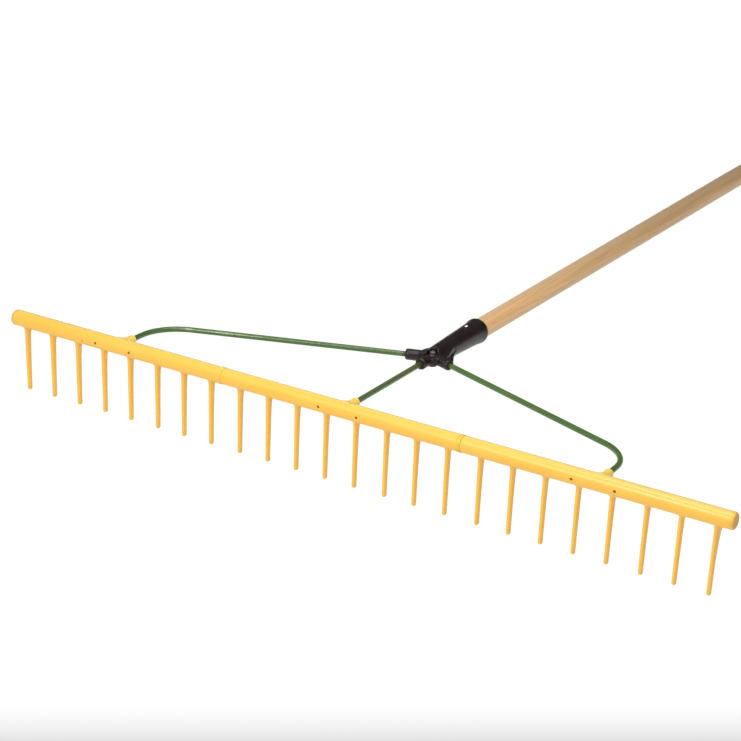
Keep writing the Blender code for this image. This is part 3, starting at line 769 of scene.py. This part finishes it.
# ------------------------------------------------------------ end caps
for name, side, end in (("left", -1, BAR_LEFT), ("right", 1, BAR_RIGHT)):
    outer = BAR_R - 0.02
    face = end - CAP_FLANGE
    profile = rounded([(482.2, 0.6), (482.2, BAR_R - 3.6), (483.4, 7.4), (face, 7.4), (face, outer)], 0.3, 3)[:-1]
    profile += [(face, outer - 0.12), (face + 0.12, outer)]
    for k in range(15):
        a = math.pi / 2 * k / 14
        profile.append((end - 4.3 + 4.3 * math.sin(a), outer - 4.3 + 4.3 * math.cos(a)))
    profile += [(end, 4.6), (end - 0.15, 4.1), (end - 0.2, 2.0), (end - 0.2, 0.6)]
    pts, faces = turned(profile, (0, 0, 0), (side, 0, 0), 72)
    rr = np.hypot(pts[:, 1], pts[:, 2])
    rub = np.clip((np.abs(pts[:, 0]) - (end - 2.8)) / 1.6, 0, 1) * np.clip((rr - 6.2) / 2.2, 0, 1)
    new_piece(f"{name}_cap_moulding", pts, faces, YELLOW, f"{name}_end_cap", edge=rub * 0.15)


# ------------------------------------------------------------ brace rods
def tube(path, radius, sides=26):
    rings = []
    a = 2 * np.pi * np.arange(sides) / sides
    for i, p in enumerate(path):
        before = path[i] - path[i - 1] if i else path[1] - path[0]
        after = path[i + 1] - path[i] if i + 1 < len(path) else before
        tangent = before / np.linalg.norm(before) + after / np.linalg.norm(after)
        tangent /= np.linalg.norm(tangent)
        up = np.array([0, 0, 1.0])
        across = np.cross(up, tangent)
        r = radius if np.isscalar(radius) else radius[i]
        rings.append(p + (np.cos(a)[:, None] * across + np.sin(a)[:, None] * up) * r)
    return loft(rings)


def along_line(a, b, step):
    n = max(1, int(np.linalg.norm(b - a) / step))
    return [a + (b - a) * k / n for k in range(n + 1)]


def rod_path(side):
    """Out of the boss, round the bend, then straight to the clamp."""
    pts = along_line(np.array([SECTION, ROD_START, 0.0]), np.array([SECTION, ROD_STRAIGHT, 0.0]), 2.5)
    for k in range(1, 33):
        a = TURN * k / 32
        pts.append(np.array([SECTION - ROD_BEND_R * (1 - math.cos(a)), ROD_STRAIGHT + ROD_BEND_R * math.sin(a), 0.0]))
    end = np.array([9.0, APEX_Y - 9.0 * math.tan(SLOPE), 0.0])
    near = np.array([60.0, APEX_Y - 60.0 * math.tan(SLOPE), 0.0])
    pts += along_line(pts[-1], near, 6.0)[1:]
    pts += along_line(near, end, 1.3)[1:]
    return [p * np.array([side, 1, 1]) for p in pts]


def arm_frame(x, y, side):
    """Along and across one clamp arm, in plan."""
    ax, ay = side * math.cos(SLOPE), -math.sin(SLOPE)
    along = x * ax + (y - APEX_Y) * ay
    across = -x * ay + (y - APEX_Y) * ax
    return along, across


def rod_piece(name, path, node):
    path = np.array(path)
    radius = np.full(len(path), ROD_R)
    radius[0] = radius[-1] = ROD_R - 0.5
    path = np.concatenate([path[:1], path[:1] + (path[1] - path[0]) / np.linalg.norm(path[1] - path[0]) * 0.5,
                           path[1:-1],
                           path[-1:] - (path[-1] - path[-2]) / np.linalg.norm(path[-1] - path[-2]) * 0.5, path[-1:]])
    radius = np.concatenate([radius[:1], [ROD_R], radius[1:-1], [ROD_R], radius[-1:]])
    pts, faces = tube(path, radius)
    # painted shade on the coat in the crook where the rod leaves its boss, and by the clamp's mouth
    if node == "centre_brace_rod":
        to_clamp = CENTRE_JAW - pts[:, 1]
    else:
        to_clamp = arm_frame(pts[:, 0], pts[:, 1], 1 if pts[0, 0] > 0 else -1)[0] - ARM_REACH
    reach = 16.0 if node == "centre_brace_rod" else 5.0
    mouth_shade_mask = np.maximum(np.clip((BOSS_END + 6.0 - pts[:, 1]) / 5.0, 0, 1), np.clip((reach - to_clamp) / (0.6 * reach), 0, 1))
    mouth_shade_mask = mouth_shade_mask * mouth_shade_mask * (3 - 2 * mouth_shade_mask)
    return new_piece(name, pts, faces, GREEN, node, edge=mouth_shade_mask)


rod_piece("left_rod_coated", rod_path(-1), "left_brace_rod")
rod_piece("right_rod_coated", rod_path(1), "right_brace_rod")
stations = [0, ROD_START], [0, 60.0], [0, 180.0], [0, CENTRE_ROD_END]
straight = [np.array([*stations[0], 0.0])]
for a, b, step in zip(stations, stations[1:], (1.5, 6.0, 1.3)):
    straight += along_line(np.array([*a, 0.0]), np.array([*b, 0.0]), step)[1:]
rod_piece("centre_rod_coated", straight, "centre_brace_rod")

# ------------------------------------------------------------ clamp and socket
CONE = [(APEX_Y - 8.0, 5.2), (APEX_Y - 5.8, 7.4), (APEX_Y - 2.8, 9.6), (APEX_Y + 1.0, 11.2), (APEX_Y + 7.0, 12.3),
        (252.0, 12.8), (288.0, 14.0), (342.0, 15.8), (349.0, 16.25), (354.5, 16.65), (361.2, 17.35), (364.0, 17.78),
        (365.9, 17.78), (MOUTH, 17.35)]


def plan_shape(x, y, outline):
    """Signed distance in plan to a closed outline."""
    d = np.full(np.shape(x), 1e9)
    sign = np.ones(np.shape(x))
    n = len(outline)
    for i in range(n):
        (ax, ay), (bx, by) = outline[i], outline[(i - 1) % n]
        ex, ey = bx - ax, by - ay
        wx, wy = x - ax, y - ay
        t = np.clip((wx * ex + wy * ey) / (ex * ex + ey * ey), 0, 1)
        d = np.minimum(d, (wx - ex * t) ** 2 + (wy - ey * t) ** 2)
        c1, c2, c3 = y >= ay, y < by, ex * wy > ey * wx
        flip = (c1 & c2 & c3) | (~c1 & ~c2 & ~c3)
        sign = np.where(flip, -sign, sign)
    return sign * np.sqrt(d)


def gusset_outline(side):
    ax, ay = side * math.cos(SLOPE), -math.sin(SLOPE)
    rx, ry = side * math.sin(SLOPE), math.cos(SLOPE)
    mid = (ax * 30.0, APEX_Y + ay * 30.0)
    tip = (mid[0] + rx * 5.4, mid[1] + ry * 5.4)
    return [(0.0, APEX_Y), mid, tip, (side * 25.0, 248.0), (side * 18.2, 262.0), (side * 12.4, 280.0), (0.0, 280.0)]


def shoulder_outline(side):
    root = (side * math.cos(SLOPE) * 20.0, APEX_Y - math.sin(SLOPE) * 20.0)
    return [(0.0, APEX_Y), root, (side * 19.6, 240.5), (side * 17.6, 250.5), (side * 14.6, 259.0), (side * 12.2, 268.0),
            (0.0, 268.0)]


def case(along, across, z, length, low, radius, rc):
    """Rounded case round a rod, its mouth turned over in a wide curve."""
    out = np.sqrt(across ** 2 + z ** 2) - (radius - rc)
    past = along - (length - rc)
    d = np.sqrt(np.maximum(out, 0) ** 2 + np.maximum(past, 0) ** 2) + np.minimum(np.maximum(out, past), 0) - rc
    return within(d, low - along, 0.5)


def bead(along, front, z, d, length):
    """A slim raised loop on the front face of a case."""
    middle, half = (10.5 + length - 7.0) / 2, (length - 7.0 - 10.5) / 2
    loop = np.abs(np.sqrt(np.maximum(np.abs(along - middle) - half, 0) ** 2 + (z - 0.2) ** 2) - 3.7)
    ridge = np.sqrt(loop ** 2 + (d + 0.05) ** 2) - 0.72
    return melt(d, np.where(front > 0.5, ridge, 9.0), 0.35)


def hub_field():
    """Outside of the clamp and socket before it is split."""

    def field(x, y, z):
        radial = np.sqrt(x * x + z * z)
        d = lathe(radial, y, CONE, 1.2, 0.6)
        for side in (-1, 1):
            along, across = arm_frame(x, y, side)
            arm = case(along, across, z, ARM_REACH, 0.5, ARM_R, 3.2)
            d = melt(d, bead(along, -across * side, z, arm, ARM_REACH), 3.0)
        d = melt(d, case(240.0 - y, x, z, 240.0 - CENTRE_JAW, 0.5, JAW_R, 2.4), 2.6)
        disc = np.sqrt(x * x + (y - (APEX_Y - 7.5)) ** 2) - 14.2
        web = within(disc, np.maximum(z - 4.8, -5.2 - z), 1.6)
        d = melt(d, web, 2.4)
        for side in (-1, 1):
            plate = within(plan_shape(x, y, gusset_outline(side)), np.maximum(z + 1.4, -5.8 - z), 0.9)
            d = melt(d, plate, 3.0)
            plate = within(plan_shape(x, y, shoulder_outline(side)), np.maximum(z - 4.0, -3.0 - z), 1.8)
            d = melt(d, plate, 3.0)
        return d

    return field


def less_channels(d, x, y, z):
    for side in (-1, 1):
        along, across = arm_frame(x, y, side)
        r = ROD_BORE_R + np.clip((along - (ARM_REACH - 1.4)) / 3.4, 0, 1) * 0.8
        d = carve(d, np.maximum(np.sqrt(across ** 2 + z ** 2) - r, 9.5 - along), 0.35)
    along = -y
    r = ROD_BORE_R + np.clip((along + CENTRE_JAW + 1.4) / 3.4, 0, 1) * 0.8
    d = carve(d, np.maximum(np.sqrt(x ** 2 + z ** 2) - r, -CENTRE_ROD_END - 0.3 - along), 0.35)
    return carve(d, np.sqrt(x * x + (y - BOLT_Y) ** 2) - 2.8 + 0 * z, 0.3)


def socket_field(x, y, z):
    d = hub_field()(x, y, z)
    d = carve(d, np.maximum(y - SPLIT_Y, z - SPLIT), 0.5)
    d = less_channels(d, x, y, z)
    recess = within(np.sqrt(x * x + (y - BOLT_Y) ** 2) - 5.8, FLOOR_Z - z, 0.5)
    deck = np.maximum(np.maximum(np.abs(x) - DECK_HALF, y - BOLT_Y), np.maximum(DECK_Y - y, 3.0 - z))
    flat = np.maximum(np.maximum(np.abs(x) - 6.8, y - DECK_Y - 1.0), np.maximum(212.5 - y, 5.3 - z))
    d = carve(d, melt(melt(recess, deck, 1.2), flat, 1.6), 2.2)
    bore = np.sqrt(x * x + z * z) - (10.1 + (14.36 - 10.1) * (y - SEAT_Y) / (MOUTH - SEAT_Y))
    d = carve(d, np.maximum(bore, SEAT_Y - y), 0.45)
    way = np.maximum(np.sqrt(x * x + (y - HANDLE_SCREW_Y) ** 2) - 1.9, 6.0 - z)
    return carve(d, way, 0.3)


def plate_field(x, y, z):
    d = hub_field()(x, y, z)
    d = within(d, np.maximum(z + SPLIT, y - (SPLIT_Y - 0.3)), 0.5)
    about = np.sqrt(x * x + (y - BOLT_Y) ** 2)
    boss = lathe(about, -z, [(4.0, 8.6), (10.4, 7.6), (11.8, 6.9)], 0.5, 0.8)
    d = melt(d, boss, 1.6)
    d = less_channels(d, x, y, z)
    flats = np.max([np.abs(x * math.cos(a) + (y - BOLT_Y) * math.sin(a)) for a in (0, math.pi / 3, 2 * math.pi / 3)],
                   axis=0) - 4.3
    return carve(d, np.maximum(flats, z + 7.8), 0.3)


q = 1.0
xs = graded(-36.2, 36.2, [(-35.6, -17.0, 0.78 * q), (-17.0, 17.0, 0.72 * q), (17.0, 35.6, 0.78 * q)], 1.0)
ys = graded(198.4, MOUTH + 1.4, [(199.6, 254.0, 0.68 * q), (257.5, 282.0, 1.3 * q), (329.0, 334.6, 0.6),
                                (346.0, 363.0, 1.3), (364.2, 368.2, 0.4)], 3.6)
zs = graded(-18.8, 18.8, [(-18.2, -7.0, 1.0 * q), (-7.0, 7.5, 0.55 * q), (7.5, 18.2, 0.9 * q)], 1.2)
field_piece("socket_moulding", socket_field, xs, ys, zs, BLACK, "socket_plastic", "handle_socket", 0.9)
ys = graded(198.4, SPLIT_Y + 1.0, [(199.6, SPLIT_Y + 0.5, 0.68 * q)], 1.0)
zs = graded(-13.4, 0.8, [(-13.0, -7.0, 0.7 * q), (-7.0, 0.5, 0.45 * q)], 1.0)
field_piece("clamp_plate_moulding", plate_field, xs, ys, zs, BLACK, "socket_plastic", "clamp_plate", 0.9)


# ------------------------------------------------------------ fasteners
def hexagon(x, y, half):
    return np.max([np.abs(x * math.cos(a) + y * math.sin(a)) for a in (0, math.pi / 3, 2 * math.pi / 3)], axis=0) - half


def bolt_field(x, y, z):
    """Hexagon head with a turned chamfer and a washer face, on a plain shank."""
    px, py = x, y - BOLT_Y
    about = np.sqrt(px * px + py * py)
    head = within(hexagon(px, py, 4.0), np.maximum(z - 7.28, 3.85 - z), 0.18)
    cone = (about - 4.0 + (z - 7.28) * 1.7) / 1.97
    head = within(head, cone, 0.3)
    dish = 6.95 + 0 * z - z
    head = carve(head, within(about - 2.7, dish, 0.3), 0.3)
    shank = within(about - 2.5, np.maximum(-13.55 - z, z - 5.0), 0.5)
    return melt(head, shank, 0.3)


g = np.arange(-5.4, 5.41, 0.27)
zs = graded(-14.2, 9.4, [(-14.0, -12.8, 0.35), (3.0, 9.2, 0.27)], 1.2, 0.4)
field_piece("bolt_hex", bolt_field, g, g + BOLT_Y, zs, BOLT_STEEL, "fastener_steel", "clamp_bolt", 0.6)


def nut_field(x, y, z):
    px, py = x, y - BOLT_Y
    about = np.sqrt(px * px + py * py)
    nut = within(hexagon(px, py, 4.0), np.maximum(z + 8.1, -11.9 - z), 0.18)
    nut = within(nut, (about - 4.2 - (z + 11.9) * 1.7) / 1.97, 0.2)
    return carve(nut, about - 2.8 + 0 * z, 0.45)


field_piece("nut_hex", nut_field, g, g + BOLT_Y, np.arange(-12.4, -7.5, 0.25), STEEL, "fastener_steel", "clamp_nut", 0.6)

rings = rounded([(2.72, 2.85), (2.72, 4.98), (3.48, 4.98), (3.48, 2.85)], 0.16, 3)
pts, faces = turned(rings, (0, BOLT_Y, 0), (0, 0, 1), 48)
n = 48
faces = faces[:-2] + [((len(rings) - 1) * n + i, (len(rings) - 1) * n + (i + 1) % n, (i + 1) % n, i) for i in range(n)]
new_piece("washer_flat", pts, faces, STEEL, "clamp_washer")


def screw_field(origin, axis, head_r, head_low, head_high, shank_r, tip, cross):
    """Pan-head screw with a cross recess; heights along its axis."""
    axis, u, w = frame_of(axis)
    o = np.asarray(origin, float)

    def field(x, y, z):
        px, py, pz = x - o[0], y - o[1], z - o[2]
        h = px * axis[0] + py * axis[1] + pz * axis[2]
        a = px * u[0] + py * u[1] + pz * u[2]
        b = px * w[0] + py * w[1] + pz * w[2]
        r = np.sqrt(a * a + b * b)
        height = head_high - head_low
        ball = (head_r * head_r + height * height) / (2 * height) * 1.06
        dome = np.sqrt(a * a + b * b + (h - (head_high - ball)) ** 2) - ball
        head = within(within(dome, head_low - h, 0.12), r - head_r, 0.2)
        depth = np.maximum(head_high - 0.9 * height - h, -1e3)
        slot_a = np.maximum(np.abs(a) - 0.16 * head_r, np.abs(b) - 0.56 * head_r)
        slot_b = np.maximum(np.abs(b) - 0.16 * head_r, np.abs(a) - 0.56 * head_r)
        head = carve(head, np.maximum(np.minimum(slot_a, slot_b), depth), cross)
        thread = 0.08 * np.cos(2 * np.pi * h / 0.9 - np.arctan2(b, a))
        taper = np.clip((h - tip) / 1.6, 0.0, 1.0)
        shank = within(r - (shank_r * (0.25 + 0.75 * taper) + thread), np.maximum(tip - h, h - head_low - 0.3), 0.1)
        return melt(head, shank, 0.15)

    return field


field_piece("handle_screw_head",
            screw_field((0, HANDLE_SCREW_Y, 0), (0, 0, 1), 2.9, HEAD_Z, HEAD_Z + 1.7, 1.25, 3.9, 0.15),
            np.arange(-3.4, 3.41, 0.17), np.arange(HANDLE_SCREW_Y - 3.4, HANDLE_SCREW_Y + 3.41, 0.17),
            graded(3.2, HEAD_Z + 2.2, [(HEAD_Z - 0.5, HEAD_Z + 2.0, 0.16)], 0.3),
            BRIGHT, "fastener_steel", "handle_screw", 0.5)
for i, part in enumerate(("left", "middle", "right")):
    for side, which in ((-1, "a"), (1, "b")):
        x0 = (i - 1) * SECTION + side * SCREW_OFFSET + SCREW_SHIFT
        field = screw_field((x0, 0, 0), (0, -COS_L, -SIN_L), 1.5, 9.0, 10.1, 0.9, 5.1, 0.1)
        field_piece(f"{part}_bar_screw_{which}", field, np.arange(x0 - 1.9, x0 + 1.91, 0.19),
                    np.arange(-10.7, -4.5, 0.19), np.arange(-2.9, 1.7, 0.19),
                    DARK_STEEL, "screw_steel", f"{part}_section_screw_{which}", 0.5)

# ------------------------------------------------------------ joining tube
rings = rounded([(-478.0, 6.05), (-478.0, 7.38), (478.0, 7.38), (478.0, 6.05)], 0.3, 3)
pts, faces = turned(rings, (0, 0, 0), (1, 0, 0), 64)
n = 64
faces = faces[:-2] + [((len(rings) - 1) * n + i, (len(rings) - 1) * n + (i + 1) % n, (i + 1) % n, i) for i in range(n)]
new_piece("joining_tube_drawn", pts, faces, TUBE, "core_tube")

# ------------------------------------------------------------ handle
HANDLE_END = SEAT_Y + 0.3 + 1500.0
NEAR_R, FAR_R, TAPER_END, END_ROUND = 14.1, 16.9, 1430.0, 8.0


def handle_profile():
    out = [(SEAT_Y + 0.3, 0.8), (SEAT_Y + 0.3, 8.8), (SEAT_Y + 1.5, 9.75)]
    for k in range(1, 12):
        t = k / 11
        out.append((SEAT_Y + 1.5 + (MOUTH - SEAT_Y - 1.5) * t, 9.75 + (NEAR_R - 9.75) * t))
    for k in range(1, 89):
        t = k / 88
        out.append((MOUTH + (TAPER_END - MOUTH) * t, NEAR_R + (FAR_R - NEAR_R) * t))
    for k in range(1, 26):
        out.append((TAPER_END + (HANDLE_END - END_ROUND - TAPER_END) * k / 25, FAR_R - 0.012))
    for k in range(1, 15):
        a = math.pi / 2 * k / 14
        out.append((HANDLE_END - END_ROUND + (END_ROUND - 0.02) * math.sin(a), FAR_R - 0.012 - END_ROUND * (1 - math.cos(a))))
    out += [(HANDLE_END - 0.02, 4.0), (HANDLE_END - 0.02, 0.8)]
    return out


pts, faces = turned(handle_profile(), (0, 0, 0), (0, 1, 0), 72)
new_piece("handle_turned", pts, faces, WOOD, "handle")

# ------------------------------------------------------------ stage
floor_mat = Nodes("pale_floor")
# the floor glows evenly white, and painted shade darkens a band of it towards the front
at = floor_mat.add("ShaderNodeTexCoord").outputs["Object"]
depth = floor_mat.axis(at, 1)
across = floor_mat.axis(at, 0)
toward = floor_mat.math("SUBTRACT", floor_mat.math("MULTIPLY", across, 0.5577), floor_mat.math("MULTIPLY", depth, 0.8300))
near = floor_mat.span(toward, 1.175, 1.175 + 0.0945 * 1.04, 0.0, 1.04)
fall = floor_mat.math("MULTIPLY", floor_mat.math("POWER", near, 2.0), 0.262)
tone = floor_mat.mix(fall, (1.0, 1.0, 1.0), (0.0, 0.0, 0.0))
glow = floor_mat.add("ShaderNodeEmission")
floor_mat.link(tone, glow.inputs["Color"])
glow.inputs["Strength"].default_value = 1.0
both = floor_mat.add("ShaderNodeAddShader")
floor_mat.finish((0.03, 0.03, 0.03), 0.9, IOR=1.05)
output = next(x for x in floor_mat.tree.nodes if x.bl_idname == "ShaderNodeOutputMaterial")
floor_mat.link(glow.outputs[0], both.inputs[0])
floor_mat.link(floor_mat.shader.outputs["BSDF"], both.inputs[1])
floor_mat.link(both.outputs[0], output.inputs["Surface"])

mesh = bpy.data.meshes.new("floor")
size = 30.0
mesh.from_pydata([(-size, -size, -0.0004), (size, -size, -0.0004), (size, size, -0.0004), (-size, size, -0.0004)], [],
                 [(0, 1, 2, 3)])
floor = bpy.data.objects.new("floor", mesh)
bpy.context.scene.collection.objects.link(floor)
mesh.materials.append(floor_mat.material)

world = bpy.data.worlds.new("studio")
world.use_nodes = True
bpy.context.scene.world = world
tree = world.node_tree
tree.nodes.clear()
where = tree.nodes.new("ShaderNodeTexCoord")
split = tree.nodes.new("ShaderNodeSeparateXYZ")
ramp = tree.nodes.new("ShaderNodeMapRange")
ramp.interpolation_type = "SMOOTHSTEP"
ramp.inputs["From Min"].default_value = 0.12
ramp.inputs["From Max"].default_value = 0.65
ramp.inputs["To Min"].default_value = 1.0
ramp.inputs["To Max"].default_value = 0.62
shade = tree.nodes.new("ShaderNodeBackground")
end = tree.nodes.new("ShaderNodeOutputWorld")
side_ramp = tree.nodes.new("ShaderNodeMapRange")
side_ramp.interpolation_type = "SMOOTHSTEP"
side_ramp.inputs["From Min"].default_value = 0.25
side_ramp.inputs["From Max"].default_value = 0.85
side_ramp.inputs["To Min"].default_value = 1.0
side_ramp.inputs["To Max"].default_value = 0.68
product = tree.nodes.new("ShaderNodeMath")
product.operation = "MULTIPLY"
tree.links.new(where.outputs["Generated"], split.inputs[0])
tree.links.new(split.outputs[2], ramp.inputs["Value"])
tree.links.new(split.outputs[0], side_ramp.inputs["Value"])
tree.links.new(ramp.outputs["Result"], product.inputs[0])
tree.links.new(side_ramp.outputs["Result"], product.inputs[1])
behind = tree.nodes.new("ShaderNodeMapRange")
behind.interpolation_type = "SMOOTHSTEP"
behind.inputs["From Min"].default_value = -0.10
behind.inputs["From Max"].default_value = 0.50
behind.inputs["To Min"].default_value = 0.0
behind.inputs["To Max"].default_value = 0.86
below_top = tree.nodes.new("ShaderNodeMapRange")
below_top.interpolation_type = "SMOOTHSTEP"
below_top.inputs["From Min"].default_value = 0.50
below_top.inputs["From Max"].default_value = 0.85
below_top.inputs["To Min"].default_value = 1.0
below_top.inputs["To Max"].default_value = 0.0
wall = tree.nodes.new("ShaderNodeMath")
wall.operation = "MULTIPLY"
rest = tree.nodes.new("ShaderNodeMath")
rest.operation = "SUBTRACT"
rest.inputs[0].default_value = 1.0
whole = tree.nodes.new("ShaderNodeMath")
whole.operation = "MULTIPLY"
tree.links.new(split.outputs[1], behind.inputs["Value"])
tree.links.new(split.outputs[2], below_top.inputs["Value"])
tree.links.new(behind.outputs["Result"], wall.inputs[0])
tree.links.new(below_top.outputs["Result"], wall.inputs[1])
tree.links.new(wall.outputs[0], rest.inputs[1])
tree.links.new(product.outputs[0], whole.inputs[0])
tree.links.new(rest.outputs[0], whole.inputs[1])
tree.links.new(whole.outputs[0], shade.inputs["Strength"])
tree.links.new(shade.outputs[0], end.inputs["Surface"])


def softbox(name, place, target, width, height, power, colour=(1, 1, 1)):
    data = bpy.data.lights.new(name, "AREA")
    data.shape = "RECTANGLE"
    data.size, data.size_y = width, height
    data.energy = power
    data.color = colour
    obj = bpy.data.objects.new(name, data)
    obj.location = place
    obj.rotation_euler = (Vector(target) - Vector(place)).to_track_quat("-Z", "Y").to_euler()
    bpy.context.scene.collection.objects.link(obj)
    return obj


softbox("key", (-0.25, -1.95, 1.30), (0.0, -0.85, 0.08), 1.4, 0.90, 9.4, (1.0, 0.985, 0.96))
softbox("overhead", (0.15, -0.75, 1.60), (0.05, -0.80, 0.0), 0.9, 0.7, 11.5)
softbox("strip", (0.05, -1.93, 1.16), (0.30, -0.85, 0.08), 0.34, 0.26, 5.6)

# ------------------------------------------------------------ camera
cam_data = bpy.data.cameras.new("camera")
cam_data.lens = 1887.42 * 36.0 / 741.0
cam_data.sensor_width = 36.0
cam_data.shift_x = -0.5 / 741.0
cam_data.shift_y = 0.5 / 741.0
cam_data.clip_start, cam_data.clip_end = 0.05, 60.0
cam = bpy.data.objects.new("camera", cam_data)
right = np.array([[0.87111, 0.48491, 0.07761]])
down = np.array([[0.23703, -0.27676, -0.93125]])
ahead = np.array([[-0.43009, 0.82962, -0.35603]])
right, down, ahead = (turn_to_world(v)[0] for v in (right, down, ahead))
spot = to_world(np.array([[999.0 - 2.218, -1858.15, 856.09]]))[0]
turn = Matrix([[right[i], -down[i], -ahead[i]] for i in range(3)]).to_4x4()
cam.matrix_world = Matrix.Translation(Vector(spot)) @ turn.to_quaternion().to_matrix().to_4x4()
bpy.context.scene.collection.objects.link(cam)
bpy.context.scene.camera = cam
bpy.context.scene.view_settings.view_transform = "Standard"
bpy.context.scene.view_settings.look = "None"
